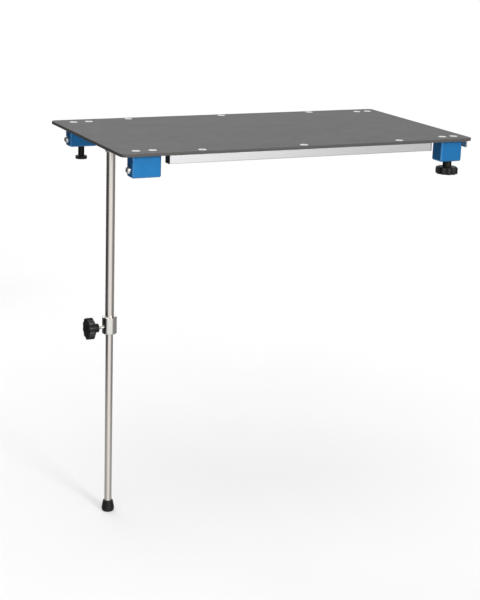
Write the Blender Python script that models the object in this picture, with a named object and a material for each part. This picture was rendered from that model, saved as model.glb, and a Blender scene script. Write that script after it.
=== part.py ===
"""Hand surgery table: a dark laminate top that hooks onto an equipment rail at one end and stands on a
telescopic leg at the other.

Metres, +Z up. The origin is on the floor under the middle of the top. +X points to the rail end,
-Y is the near long side and +Y the far one.
"""

from math import cos, pi, radians, sin

import bmesh
import bpy

# Clearance between pieces that seat on each other, and between a sliding piece and its guide
GAP = 0.0003
SLIDE_GAP = 0.0002

# Laminate top
TOP_LENGTH = 0.735
TOP_WIDTH = 0.400
TOP_THICKNESS = 0.006
TOP_HEIGHT = 0.765
TOP_CORNER_RADIUS = 0.010
TOP_EDGE_CHAMFER = 0.0006

# Countersunk screws that hold the blocks and the stiffeners under the top
SCREW_HEAD = 0.016
SCREW_SHANK = 0.008
SCREW_RIM = 0.0005
SCREW_SOCKET = 0.0050
SCREW_SOCKET_DEPTH = 0.0026
STIFFENER_SCREW_TIP = 0.0015

# Hollow stiffeners under the long edges, with a plug in each end
STIFFENER_CLEAR_OF_BLOCK = 0.0095
STIFFENER_WIDTH = 0.018
STIFFENER_DEPTH = 0.016
STIFFENER_WALL = 0.0025
STIFFENER_RADIUS = 0.0012
STIFFENER_EDGE = 0.0045
STIFFENER_SCREW_FROM_END = 0.067
STIFFENER_SCREWS = 3
CAP_PLATE = 0.0015
CAP_PLUG = 0.009

# Blocks at the four corners
BLOCK_HEIGHT = 0.0415
BLOCK_ROUND = 0.0035
BLOCK_LINE = 0.030
BLOCK_SCREW_OVER_BOLT = 0.0078
CORNER_BLOCK_LENGTH = 0.056
CORNER_BLOCK_WIDTH = 0.029
CORNER_SCREW_MARGIN = 0.012
CORNER_STATION = 0.054
RAIL_BLOCK_LENGTH = 0.048
RAIL_BLOCK_WIDTH = 0.033
RAIL_SCREW_MARGIN = 0.011
RAIL_FACE_FROM_END = 0.015

# Domed bolt in the outer face of each corner block
END_BOLT_HEAD = 0.0132
END_BOLT_BARREL = 0.0016
END_BOLT_DOME = 0.0054
END_BOLT_SHANK = 0.0080
END_BOLT_LENGTH = 0.013
END_BOLT_ABOVE_BASE = 0.0135

# Hook that reaches over an equipment rail, held by a knob from below
RAIL_THICKNESS = 0.010
RAIL_PLAY = 0.0005
HOOK_THICKNESS = 0.003
HOOK_TONGUE = 0.018
HOOK_HEAD = 0.028
HOOK_LIP = 0.012
HOOK_BEND = 0.004
HOOK_TRAVEL = 0.004
HOOK_HEEL = 0.004

# Screw jacks: a stud with a grip outside and a loose pad on its tip
JACK_TRAVEL = 0.0025
RAIL_JACK_OFFSET = 0.0025
RAIL_STUD = 0.008
RAIL_PAD_OVERHANG = 0.0005
RAIL_PAD_THICKNESS = 0.003
RAIL_KNOB_STANDOFF = 0.0018
LEG_STUD = 0.006
LEG_PAD_THICKNESS = 0.003
LEG_KNOB_STANDOFF = 0.0090
THUMB_STUD = 0.008
THUMB_PAD_THICKNESS = 0.004
THUMB_REACH = 0.021
THUMB_STANDOFF = 0.0008
STUD_IN_GRIP = 0.014

# Fluted knobs with a tapered back, and the smaller head of the thumbscrew
KNOB_LOBES = 10
KNOB_DIAMETER = 0.0440
KNOB_SCALLOP = 0.0022
KNOB_THICKNESS = 0.0140
KNOB_BACK = 0.0390
KNOB_TAPER = 0.0018
KNOB_EDGE = 0.0018
KNOB_DOME = 0.0012
KNOB_CROWN = 0.0140
KNOB_HUB = 0.0175
KNOB_HUB_LENGTH = 0.0105
THUMB_FLUTES = 12
THUMB_HEAD = 0.0236
THUMB_HEAD_THICKNESS = 0.0063
THUMB_HEAD_EDGE = 0.0010
THUMB_SCALLOP = 0.0009
THUMB_NECK_WALL = 0.0022
THUMB_NECK_LENGTH = 0.0190

# Telescopic leg
SOCKET_BOSS_WALL = 0.0042
SOCKET_FLANGE_WIDTH = 0.0105
SOCKET_FLANGE_THICKNESS = 0.005
SOCKET_BORE_DEPTH = 0.020
SOCKET_SCREWS = 3
SOCKET_SCREW_HEAD = 0.0075
SOCKET_SCREW_SHANK = 0.004
SOCKET_SCREW_SOCKET = 0.0025
SOCKET_SCREW_SOCKET_DEPTH = 0.0012
SOCKET_SCREW_GRIP = 0.004
UPPER_TUBE = 0.0172
TUBE_WALL = 0.0011
COLLAR_WALL = 0.0056
COLLAR_BASE = 0.3745
COLLAR_GRIP = 0.0175
COLLAR_SEAT_DEPTH = 0.0175
COLLAR_CHAMFER = 0.0014
COLLAR_SCREW_BELOW_TUBE = 0.0015
LEG_INSERTION = 0.155
PLUG_RIM = 0.002
PLUG_DEPTH = 0.012

# Rubber foot with a steel washer under the tube
FOOT_RIM_WALL = 0.0024
FOOT_FLARE = 0.0026
FOOT_TREAD_INSET = 0.0022
FOOT_HEIGHT = 0.022
FOOT_WIDEST_AT = 0.0075
FOOT_FLOOR = 0.0045
FOOT_RINGS = 3
FOOT_RING_DEPTH = 0.0007
FOOT_RING_WIDTH = 0.0014
WASHER_THICKNESS = 0.0012

# Facets
ROUND_STEPS = 32
SMALL_STEPS = 14
SOCKET_SIDES = 6
CORNER_STEPS = 4
POINTS_PER_LOBE = 4
DOME_STEPS = 4
BLOCK_ROUND_STEPS = 3
SMOOTH_ANGLE = radians(35)
WELD = 1e-6

# Places worked out from the sizes above
TOP_UNDERSIDE = TOP_HEIGHT - TOP_THICKNESS
SEAT = TOP_UNDERSIDE - GAP
BLOCK_BASE = SEAT - BLOCK_HEIGHT
FREE_END = -TOP_LENGTH / 2
CORNER_X = FREE_END + CORNER_STATION
RAIL_FACE_X = TOP_LENGTH / 2 - RAIL_FACE_FROM_END
RAIL_BLOCK_X = RAIL_FACE_X - RAIL_BLOCK_LENGTH / 2
BLOCK_Y = TOP_WIDTH / 2 - BLOCK_LINE
BLOCK_SCREW_BITE = BLOCK_HEIGHT - END_BOLT_ABOVE_BASE - END_BOLT_SHANK / 2 - BLOCK_SCREW_OVER_BOLT
BLOCK_SCREW_LENGTH = TOP_THICKNESS + GAP + BLOCK_SCREW_BITE
STIFFENER_Y = TOP_WIDTH / 2 - STIFFENER_EDGE - STIFFENER_WIDTH / 2
STIFFENER_TIP = -CORNER_X - CORNER_BLOCK_LENGTH / 2 - STIFFENER_CLEAR_OF_BLOCK
STIFFENER_HALF = STIFFENER_TIP - CAP_PLATE - GAP
RAIL_JACK_X = RAIL_BLOCK_X + RAIL_JACK_OFFSET
CORNER_SCREW_REACH = CORNER_BLOCK_LENGTH / 2 - CORNER_SCREW_MARGIN
RAIL_SCREW_REACH = RAIL_BLOCK_LENGTH / 2 - RAIL_SCREW_MARGIN
RAIL_PAD = RAIL_STUD + 2 * RAIL_PAD_OVERHANG
THUMB_NECK = THUMB_STUD + 2 * THUMB_NECK_WALL
SOCKET_BOSS = UPPER_TUBE + 2 * (GAP + SOCKET_BOSS_WALL)
SOCKET_FLANGE = SOCKET_BOSS + 2 * SOCKET_FLANGE_WIDTH
SOCKET_SCREW_CIRCLE = (SOCKET_BOSS + SOCKET_FLANGE) / 2
LOWER_TUBE = UPPER_TUBE - 2 * TUBE_WALL - 2 * SLIDE_GAP
LOWER_BORE = LOWER_TUBE - 2 * TUBE_WALL
LOWER_TUBE_BASE = FOOT_FLOOR + WASHER_THICKNESS + 2 * GAP
TUBE_SEAT = COLLAR_BASE + COLLAR_GRIP
COLLAR_TOP = TUBE_SEAT + COLLAR_SEAT_DEPTH
COLLAR_DIAMETER = UPPER_TUBE + 2 * (GAP + COLLAR_WALL)
LEG_CLAMP_Z = TUBE_SEAT - COLLAR_SCREW_BELOW_TUBE - LEG_STUD / 2
SIDES = {"near": -1, "far": 1}

# Turns that bring local +Z onto a world direction
ALONG_UP = (0, 0, 0)
ALONG_DOWN = (pi, 0, 0)
ALONG_RAIL_END = (0, pi / 2, 0)
ALONG_FREE_END = (0, -pi / 2, 0)


def srgb(hex_colour):
    """Linear RGBA of a hex colour such as '2a7cbb'."""
    levels = [int(hex_colour[i : i + 2], 16) / 255 for i in (0, 2, 4)]
    linear = [c / 12.92 if c <= 0.04045 else ((c + 0.055) / 1.055) ** 2.4 for c in levels]
    return (*linear, 1.0)


def finish(name, colour, roughness, metallic):
    """A Principled material of one colour."""
    material = bpy.data.materials.new(name)
    material.use_nodes = True
    shader = material.node_tree.nodes["Principled BSDF"]
    shader.inputs["Base Color"].default_value = srgb(colour)
    shader.inputs["Roughness"].default_value = roughness
    shader.inputs["Metallic"].default_value = metallic
    material.diffuse_color = srgb(colour)
    return material


def mesh_of(name, bm):
    """The finished mesh of a bmesh: welded, facing out and shaded smooth between its sharp edges."""
    bmesh.ops.remove_doubles(bm, verts=bm.verts, dist=WELD)
    bmesh.ops.recalc_face_normals(bm, faces=bm.faces)
    mesh = bpy.data.meshes.new(name)
    bm.to_mesh(mesh)
    bm.free()
    mesh.shade_smooth()
    mesh.set_sharp_from_angle(angle=SMOOTH_ANGLE)
    return mesh


def turned(name, section, steps):
    """A solid turned about local Z from (radius, height) points that close on the axis or on themselves."""
    bm = bmesh.new()
    points = [bm.verts.new((radius, 0, height)) for radius, height in section]
    edges = [bm.edges.new(pair) for pair in zip(points, points[1:])]
    if section[0][0] > 0:
        edges.append(bm.edges.new((points[-1], points[0])))
    axis = {"cent": (0, 0, 0), "axis": (0, 0, 1), "angle": 2 * pi}
    bmesh.ops.spin(bm, geom=points + edges, steps=steps, use_merge=True, **axis)
    return mesh_of(name, bm)


def lofted(name, rings):
    """A solid skinned over rings of equally many points, with a cap on the first and the last."""
    bm = bmesh.new()
    loops = [[bm.verts.new(point) for point in ring] for ring in rings]
    for lower, upper in zip(loops, loops[1:]):
        for i in range(len(lower)):
            j = (i + 1) % len(lower)
            bm.faces.new((lower[i], lower[j], upper[j], upper[i]))
    bm.faces.new(loops[0])
    bm.faces.new(loops[-1])
    return mesh_of(name, bm)


def box(name, low, high):
    """A block between two corners."""
    bm = bmesh.new()
    bmesh.ops.create_cube(bm, size=1)
    for vert in bm.verts:
        vert.co = [high[k] if vert.co[k] > 0 else low[k] for k in range(3)]
    return mesh_of(name, bm)


def gang(name, mesh, places):
    """One mesh that holds a copy of another at each place."""
    bm = bmesh.new()
    for place in places:
        start = len(bm.verts)
        bm.from_mesh(mesh)
        bm.verts.ensure_lookup_table()
        bmesh.ops.translate(bm, verts=bm.verts[start:], vec=place)
    return mesh_of(name, bm)


def put(mesh, name, material, place=(0, 0, 0), turn=ALONG_UP):
    """A named piece of the table."""
    obj = bpy.data.objects.new(name, mesh)
    obj.location = place
    obj.rotation_euler = turn
    if not mesh.materials:
        mesh.materials.append(material)
    bpy.context.scene.collection.objects.link(obj)
    return obj


def cut(obj, mesh, place=(0, 0, 0), turn=ALONG_UP):
    """Takes a shape out of a piece."""
    cutter = bpy.data.objects.new(f"{obj.name}.cutter", mesh)
    cutter.location = place
    cutter.rotation_euler = turn
    cutter.hide_render = True
    cutter.display_type = "WIRE"
    bpy.context.scene.collection.objects.link(cutter)
    modifier = obj.modifiers.new("Cut", "BOOLEAN")
    modifier.operation = "DIFFERENCE"
    modifier.solver = "EXACT"
    modifier.object = cutter
    return cutter


def round_edges(obj, width):
    """Rounds every edge of a block."""
    bevel = obj.modifiers.new("Round", "BEVEL")
    bevel.width = width
    bevel.segments = BLOCK_ROUND_STEPS


def ring_of_corners(length, width, radius, height):
    """A rectangle with round corners at one height."""
    ring = []
    for quarter, (sx, sy) in enumerate(((1, 1), (-1, 1), (-1, -1), (1, -1))):
        for step in range(CORNER_STEPS + 1):
            angle = pi / 2 * (quarter + step / CORNER_STEPS)
            x = sx * (length / 2 - radius) + radius * cos(angle)
            y = sy * (width / 2 - radius) + radius * sin(angle)
            ring.append((x, y, height))
    return ring


def ring_of_lobes(lobes, radius, scallop, height):
    """A round with shallow hollows between its lobes."""
    count = lobes * POINTS_PER_LOBE
    ring = []
    for i in range(count):
        angle = 2 * pi * i / count
        reach = radius - scallop * (1 - cos(lobes * angle)) / 2
        ring.append((reach * cos(angle), reach * sin(angle), height))
    return ring


def cylinder(name, diameter, low, high, steps=SMALL_STEPS):
    """A plain round bar along local Z."""
    radius = diameter / 2
    return turned(name, [(0, low), (radius, low), (radius, high), (0, high)], steps)


def tube(name, outer, inner, low, high):
    """A round tube along local Z."""
    section = [(inner / 2, low), (outer / 2, low), (outer / 2, high), (inner / 2, high)]
    return turned(name, section, ROUND_STEPS)


def screw_section(head, shank, length, spread=0.0, above=0.0):
    """Half outline of a countersunk screw with its head flush at height 0; spread grows it all round."""
    head_r = head / 2 + spread
    shank_r = shank / 2 + spread
    cone_end = -(SCREW_RIM + head / 2 - shank / 2)
    return [
        (0, -length - spread),
        (shank_r, -length - spread),
        (shank_r, cone_end - spread),
        (head_r, -SCREW_RIM - spread),
        (head_r, above),
        (0, above),
    ]


def countersunk(name, head, shank, length, socket, socket_depth):
    """A countersunk screw with a hexagon socket, head up."""
    mesh = turned(name, screw_section(head, shank, length), SMALL_STEPS)
    socket_mesh = cylinder(f"{name}.socket", socket, -socket_depth, SCREW_RIM, SOCKET_SIDES)
    return mesh, socket_mesh


def fluted(name, lobes, stud, levels):
    """A fluted grip, blind-bored for its stud, from (height, radius, hollow) levels."""
    bore = stud / 2 + GAP
    levels = [(STUD_IN_GRIP + GAP, bore, 0), (0, bore, 0), *levels]
    return lofted(name, [ring_of_lobes(lobes, radius, hollow, z) for z, radius, hollow in levels])


def star_knob(name, stud):
    """The knob that the leg clamp and the rail clamps share: hub, tapered back, fluted rim, low dome."""
    hub_r = KNOB_HUB / 2
    rim_r = KNOB_DIAMETER / 2
    back = KNOB_HUB_LENGTH
    front = back + KNOB_THICKNESS
    levels = [
        (0, hub_r, 0),
        (back, hub_r, 0),
        (back, KNOB_BACK / 2, 0),
        (back + KNOB_TAPER, rim_r, KNOB_SCALLOP),
        (front - KNOB_EDGE, rim_r, KNOB_SCALLOP),
        (front, rim_r - KNOB_EDGE, KNOB_SCALLOP),
        (front + KNOB_DOME, KNOB_CROWN / 2, 0),
    ]
    return fluted(name, KNOB_LOBES, stud, levels)


def thumb_head(name):
    """The thumbscrew's grip: a long neck with a small fluted head."""
    neck_r = THUMB_NECK / 2
    head_r = THUMB_HEAD / 2
    back = THUMB_NECK_LENGTH
    front = back + THUMB_HEAD_THICKNESS
    levels = [
        (0, neck_r, 0),
        (back, neck_r, 0),
        (back, head_r - THUMB_HEAD_EDGE, THUMB_SCALLOP),
        (back + THUMB_HEAD_EDGE, head_r, THUMB_SCALLOP),
        (front - THUMB_HEAD_EDGE, head_r, THUMB_SCALLOP),
        (front, head_r - THUMB_HEAD_EDGE, THUMB_SCALLOP),
    ]
    return fluted(name, THUMB_FLUTES, THUMB_STUD, levels)


def build_top(materials):
    """The laminate top, countersunk for the screws and bored from below for the leg socket."""
    chamfer = TOP_EDGE_CHAMFER
    rings = []
    for trim, z in (
        (chamfer, TOP_UNDERSIDE),
        (0, TOP_UNDERSIDE + chamfer),
        (0, TOP_HEIGHT - chamfer),
        (chamfer, TOP_HEIGHT),
    ):
        length = TOP_LENGTH - 2 * trim
        width = TOP_WIDTH - 2 * trim
        rings.append(ring_of_corners(length, width, TOP_CORNER_RADIUS - trim, z))
    top = put(lofted("table_top", rings), "table_top", materials["laminate"])
    section = screw_section(SCREW_HEAD, SCREW_SHANK, BLOCK_SCREW_LENGTH, GAP, SCREW_RIM)
    bore = turned("top_bore", section, SMALL_STEPS)
    cut(top, gang("top_bores", bore, screw_places()))
    pilot_top = TOP_UNDERSIDE + SOCKET_SCREW_GRIP + GAP
    pilot = cylinder("socket_pilot", SOCKET_SCREW_SHANK + 2 * GAP, SEAT - GAP, pilot_top)
    cut(top, gang("socket_pilots", pilot, [(x, y, 0) for x, y in socket_screw_places()]))


def block_screw_xs(centre, reach):
    """The two screws of a block, along X."""
    return [centre - reach, centre + reach]


def stiffener_screw_xs():
    """The screws of a stiffener, along X."""
    reach = STIFFENER_HALF - STIFFENER_SCREW_FROM_END
    pitch = 2 * reach / (STIFFENER_SCREWS - 1)
    return [i * pitch - reach for i in range(STIFFENER_SCREWS)]


def screw_places():
    """Every screw head in the top."""
    block_xs = block_screw_xs(CORNER_X, CORNER_SCREW_REACH)
    block_xs += block_screw_xs(RAIL_BLOCK_X, RAIL_SCREW_REACH)
    places = []
    for side in SIDES.values():
        places += [(x, side * BLOCK_Y, TOP_HEIGHT) for x in block_xs]
        places += [(x, side * STIFFENER_Y, TOP_HEIGHT) for x in stiffener_screw_xs()]
    return places


def socket_screw_places():
    """The leg socket's screws, round the leg."""
    reach = SOCKET_SCREW_CIRCLE / 2
    angles = [2 * pi * i / SOCKET_SCREWS for i in range(SOCKET_SCREWS)]
    return [(CORNER_X + reach * cos(angle), reach * sin(angle)) for angle in angles]


def build_screws(materials):
    """The screws through the top: two in each block and a row in each stiffener."""
    stiffener_screw_length = TOP_THICKNESS + GAP + STIFFENER_WALL + STIFFENER_SCREW_TIP
    for side_name, side in SIDES.items():
        rows = [
            ("corner_screw", block_screw_xs(CORNER_X, CORNER_SCREW_REACH), BLOCK_Y, BLOCK_SCREW_LENGTH),
            ("rail_screw", block_screw_xs(RAIL_BLOCK_X, RAIL_SCREW_REACH), BLOCK_Y, BLOCK_SCREW_LENGTH),
            ("stiffener_screw", stiffener_screw_xs(), STIFFENER_Y, stiffener_screw_length),
        ]
        for kind, xs, line, length in rows:
            for number, x in enumerate(xs, start=1):
                name = f"{side_name}_{kind}_{number}"
                place = (x, side * line, TOP_HEIGHT)
                sizes = (SCREW_HEAD, SCREW_SHANK, length, SCREW_SOCKET, SCREW_SOCKET_DEPTH)
                mesh, socket = countersunk(name, *sizes)
                cut(put(mesh, name, materials["stainless"], place), socket, place)


def build_stiffeners(materials):
    """The hollow stiffeners and the plugs in their ends."""
    inner_width = STIFFENER_WIDTH - 2 * STIFFENER_WALL
    inner_depth = STIFFENER_DEPTH - 2 * STIFFENER_WALL
    half = STIFFENER_HALF
    middle = SEAT - STIFFENER_DEPTH / 2
    plug = (inner_depth - 2 * GAP, inner_width - 2 * GAP, STIFFENER_RADIUS)
    plate = (STIFFENER_DEPTH, STIFFENER_WIDTH, STIFFENER_RADIUS)
    section = screw_section(SCREW_HEAD, SCREW_SHANK, STIFFENER_DEPTH, GAP)
    bore = turned("stiffener_bore", section, SMALL_STEPS)
    for side_name, side in SIDES.items():
        name = f"{side_name}_stiffener"
        place = (0, side * STIFFENER_Y, middle)
        profile = [ring_of_corners(*plate, x) for x in (-half, half)]
        bar = put(lofted(name, profile), name, materials["aluminium"], place, ALONG_RAIL_END)
        hollow_half = half + CAP_PLATE
        hollow = box(
            f"{name}.hollow",
            (-hollow_half, -inner_width / 2, -inner_depth / 2),
            (hollow_half, inner_width / 2, inner_depth / 2),
        )
        cut(bar, hollow, place)
        places = [(x, side * STIFFENER_Y, TOP_HEIGHT) for x in stiffener_screw_xs()]
        cut(bar, gang(f"{name}.bores", bore, places))
        cap_levels = [(plug, -CAP_PLUG), (plug, GAP), (plate, GAP), (plate, GAP + CAP_PLATE)]
        for end_name, direction, turn in (("free", -1, ALONG_FREE_END), ("rail", 1, ALONG_RAIL_END)):
            cap_name = f"{name}_{end_name}_cap"
            cap = lofted(cap_name, [ring_of_corners(*size, z) for size, z in cap_levels])
            cap_place = (direction * half, side * STIFFENER_Y, middle)
            put(cap, cap_name, materials["black_plastic"], cap_place, turn)


def block_blank(name, material, centre_x, side, length, width, screw_reach):
    """A rounded block under the top, bored for its two screws."""
    low = (-length / 2, -width / 2, -BLOCK_HEIGHT)
    high = (length / 2, width / 2, 0)
    block = put(box(name, low, high), name, material, (centre_x, side * BLOCK_Y, SEAT))
    round_edges(block, BLOCK_ROUND)
    section = screw_section(SCREW_HEAD, SCREW_SHANK, BLOCK_SCREW_LENGTH, GAP, GAP)
    bore = turned(f"{name}.bore", section, SMALL_STEPS)
    places = [(x, side * BLOCK_Y, TOP_HEIGHT) for x in block_screw_xs(centre_x, screw_reach)]
    cut(block, gang(f"{name}.bores", bore, places))
    return block


def build_corner_blocks(materials):
    """The two blocks at the free end, their domed bolts, and the thumbscrew under the far one."""
    face_x = CORNER_X - CORNER_BLOCK_LENGTH / 2
    bolt_z = BLOCK_BASE + END_BOLT_ABOVE_BASE
    head_r = END_BOLT_HEAD / 2
    shank_r = END_BOLT_SHANK / 2
    section = [(0, -END_BOLT_LENGTH), (shank_r, -END_BOLT_LENGTH), (shank_r, GAP), (head_r, GAP)]
    dome_base = GAP + END_BOLT_BARREL
    for step in range(DOME_STEPS):
        angle = pi / 2 * step / DOME_STEPS
        section.append((head_r * cos(angle), dome_base + END_BOLT_DOME * sin(angle)))
    section.append((0, dome_base + END_BOLT_DOME))
    bolt_bore = cylinder("end_bolt_bore", END_BOLT_SHANK + 2 * GAP, -END_BOLT_LENGTH - GAP, BLOCK_ROUND)
    thumb_bore = cylinder("thumb_bore", THUMB_STUD + 2 * GAP, -BLOCK_ROUND, THUMB_REACH)
    for side_name, side in SIDES.items():
        block = block_blank(
            f"{side_name}_corner_block",
            materials["blue_anodised"],
            CORNER_X,
            side,
            CORNER_BLOCK_LENGTH,
            CORNER_BLOCK_WIDTH,
            CORNER_SCREW_REACH,
        )
        bolt_place = (face_x, side * BLOCK_Y, bolt_z)
        cut(block, bolt_bore, bolt_place, ALONG_FREE_END)
        cut(block, thumb_bore, (CORNER_X, side * BLOCK_Y, BLOCK_BASE))
        bolt_name = f"{side_name}_end_bolt"
        bolt = turned(bolt_name, section, SMALL_STEPS)
        put(bolt, bolt_name, materials["stainless"], bolt_place, ALONG_FREE_END)
    build_thumbscrew(materials)


def build_thumbscrew(materials):
    """The black thumbscrew under the far corner block, with a loose pad on the tip of its stud."""
    axis = (CORNER_X, BLOCK_Y)
    pad_top = BLOCK_BASE + THUMB_REACH - GAP
    pad_base = pad_top - THUMB_PAD_THICKNESS
    neck_top = BLOCK_BASE - THUMB_STANDOFF
    stud_top = pad_base - GAP
    pad = cylinder("far_thumbscrew_pad", THUMB_STUD, -THUMB_PAD_THICKNESS, 0)
    put(pad, "far_thumbscrew_pad", materials["brass"], (*axis, pad_top))
    stud = cylinder("far_thumbscrew_stud", THUMB_STUD, 0, stud_top - neck_top + STUD_IN_GRIP)
    put(stud, "far_thumbscrew_stud", materials["stainless"], (*axis, neck_top - STUD_IN_GRIP))
    head = thumb_head("far_thumbscrew")
    put(head, "far_thumbscrew", materials["black_plastic"], (*axis, neck_top), ALONG_DOWN)


def hook_mesh(name):
    """The rail hook: a slotted tongue that slides in the block, a head over the rail, a lip behind it.

    Local X = 0 is the block's bearing face and local Z = 0 the top of the tongue.
    """
    lip_in = RAIL_THICKNESS + RAIL_PLAY
    lip_out = lip_in + HOOK_THICKNESS
    heel = -RAIL_BLOCK_LENGTH + HOOK_HEEL
    profile = [(heel, 0)]
    for step in range(CORNER_STEPS + 1):
        angle = pi / 2 * (1 - step / CORNER_STEPS)
        x = lip_out - HOOK_BEND * (1 - cos(angle))
        z = -HOOK_BEND * (1 - sin(angle))
        profile.append((x, z))
    profile += [
        (lip_out, -HOOK_THICKNESS - HOOK_LIP),
        (lip_in, -HOOK_THICKNESS - HOOK_LIP),
        (lip_in, -HOOK_THICKNESS),
        (heel, -HOOK_THICKNESS),
    ]
    return lofted(name, [[(x, y, z) for x, z in profile] for y in (-HOOK_HEAD / 2, HOOK_HEAD / 2)])


def hook_trims(name):
    """What the hook's blank loses: both sides of its tongue, and slots for the block's screws."""
    past = HOOK_THICKNESS
    shoulder = GAP
    heel = -RAIL_BLOCK_LENGTH + HOOK_HEEL
    slot = SCREW_SHANK / 2 + GAP
    screws = [x - RAIL_BLOCK_LENGTH / 2 for x in block_screw_xs(0, RAIL_SCREW_REACH)]
    boxes = []
    for side in (-1, 1):
        ys = sorted((side * HOOK_TONGUE / 2, side * (HOOK_HEAD / 2 + past)))
        boxes.append(((heel - past, ys[0], -2 * past), (shoulder, ys[1], past)))
    boxes.append(((heel - past, -slot, -2 * past), (screws[0] + slot, slot, past)))
    boxes.append(((screws[1] - HOOK_TRAVEL - slot, -slot, -2 * past), (screws[1] + slot, slot, past)))
    bm = bmesh.new()
    for low, high in boxes:
        bm.from_mesh(box(name, low, high))
    return mesh_of(name, bm)


def build_rail_blocks(materials):
    """The two blocks that bear on the equipment rail, each with its hook and the knob that locks it."""
    slot_half = HOOK_TONGUE / 2 + GAP
    slot_floor = -HOOK_THICKNESS - GAP
    pocket = RAIL_PAD / 2 + GAP
    pocket_floor = slot_floor - RAIL_PAD_THICKNESS - JACK_TRAVEL - GAP
    bore = RAIL_STUD / 2 + GAP
    past = HOOK_THICKNESS
    jack_section = [
        (0, -BLOCK_HEIGHT - past),
        (bore, -BLOCK_HEIGHT - past),
        (bore, pocket_floor),
        (pocket, pocket_floor),
        (pocket, -HOOK_THICKNESS / 2),
        (0, -HOOK_THICKNESS / 2),
    ]
    slot_reach = RAIL_BLOCK_LENGTH / 2 + past
    knob_top = -BLOCK_HEIGHT - RAIL_KNOB_STANDOFF
    stud_top = slot_floor - RAIL_PAD_THICKNESS - GAP
    for side_name, side in SIDES.items():
        name = f"{side_name}_rail_block"
        place = (RAIL_BLOCK_X, side * BLOCK_Y, SEAT)
        jack_place = (RAIL_JACK_X, side * BLOCK_Y, SEAT)
        block = block_blank(
            name,
            materials["blue_anodised"],
            RAIL_BLOCK_X,
            side,
            RAIL_BLOCK_LENGTH,
            RAIL_BLOCK_WIDTH,
            RAIL_SCREW_REACH,
        )
        slot = box(f"{name}.slot", (-slot_reach, -slot_half, slot_floor), (slot_reach, slot_half, past))
        cut(block, slot, place)
        cut(block, turned(f"{name}.jack", jack_section, SMALL_STEPS), jack_place)

        hook_name = f"{side_name}_rail_hook"
        hook_place = (RAIL_FACE_X, side * BLOCK_Y, SEAT)
        hook = put(hook_mesh(hook_name), hook_name, materials["stainless"], hook_place)
        cut(hook, hook_trims(f"{hook_name}.trims"), hook_place)

        pad_name = f"{side_name}_rail_pad"
        pad = cylinder(pad_name, RAIL_PAD, slot_floor - RAIL_PAD_THICKNESS, slot_floor)
        put(pad, pad_name, materials["brass"], jack_place)
        stud_name = f"{side_name}_rail_stud"
        stud = cylinder(stud_name, RAIL_STUD, knob_top - STUD_IN_GRIP, stud_top)
        put(stud, stud_name, materials["stainless"], jack_place)
        knob_name = f"{side_name}_rail_knob"
        knob = star_knob(knob_name, RAIL_STUD)
        knob_place = (RAIL_JACK_X, side * BLOCK_Y, SEAT + knob_top)
        put(knob, knob_name, materials["black_plastic"], knob_place, ALONG_DOWN)


def build_leg_socket(materials):
    """The flanged socket under the top that takes the leg, and its screws."""
    flange_r = SOCKET_FLANGE / 2
    boss_r = SOCKET_BOSS / 2
    bore_r = UPPER_TUBE / 2 + GAP
    flange_base = -SOCKET_FLANGE_THICKNESS
    base = flange_base - SOCKET_BORE_DEPTH
    section = [
        (0, flange_base),
        (bore_r, flange_base),
        (bore_r, base),
        (boss_r, base),
        (boss_r, flange_base),
        (flange_r, flange_base),
        (flange_r, 0),
        (0, 0),
    ]
    mesh = turned("leg_socket", section, ROUND_STEPS)
    socket = put(mesh, "leg_socket", materials["stainless"], (CORNER_X, 0, SEAT))
    head, shank = SOCKET_SCREW_HEAD, SOCKET_SCREW_SHANK
    length = SOCKET_FLANGE_THICKNESS + GAP + SOCKET_SCREW_GRIP
    bore = turned("socket_bore", screw_section(head, shank, length, GAP, SCREW_RIM), SMALL_STEPS)
    head_z = SEAT - SOCKET_FLANGE_THICKNESS
    for number, (x, y) in enumerate(socket_screw_places(), start=1):
        name = f"leg_socket_screw_{number}"
        place = (x, y, head_z)
        cut(socket, bore, place, ALONG_DOWN)
        sizes = (head, shank, length, SOCKET_SCREW_SOCKET, SOCKET_SCREW_SOCKET_DEPTH)
        mesh, recess = countersunk(name, *sizes)
        cut(put(mesh, name, materials["stainless"], place, ALONG_DOWN), recess, place, ALONG_DOWN)


def build_upper_leg(materials):
    """The upper tube and the turned collar on its lower end."""
    tube_top = SEAT - SOCKET_FLANGE_THICKNESS - GAP
    upper = tube("leg_upper_tube", UPPER_TUBE, UPPER_TUBE - 2 * TUBE_WALL, TUBE_SEAT + GAP, tube_top)
    put(upper, "leg_upper_tube", materials["stainless"], (CORNER_X, 0, 0))

    seat_r = UPPER_TUBE / 2 + GAP
    bore_r = LOWER_TUBE / 2 + SLIDE_GAP
    outer_r = COLLAR_DIAMETER / 2
    chamfer = COLLAR_CHAMFER
    section = [
        (bore_r, COLLAR_BASE),
        (outer_r - chamfer, COLLAR_BASE),
        (outer_r, COLLAR_BASE + chamfer),
        (outer_r, COLLAR_TOP - chamfer),
        (outer_r - chamfer, COLLAR_TOP),
        (seat_r, COLLAR_TOP),
        (seat_r, TUBE_SEAT),
        (bore_r, TUBE_SEAT),
    ]
    mesh = turned("leg_collar", section, ROUND_STEPS)
    collar = put(mesh, "leg_collar", materials["stainless"], (CORNER_X, 0, 0))
    tapped = cylinder("collar_tapping", LEG_STUD + 2 * GAP, LOWER_BORE / 2, COLLAR_DIAMETER)
    cut(collar, tapped, (CORNER_X, 0, LEG_CLAMP_Z), ALONG_FREE_END)


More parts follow.
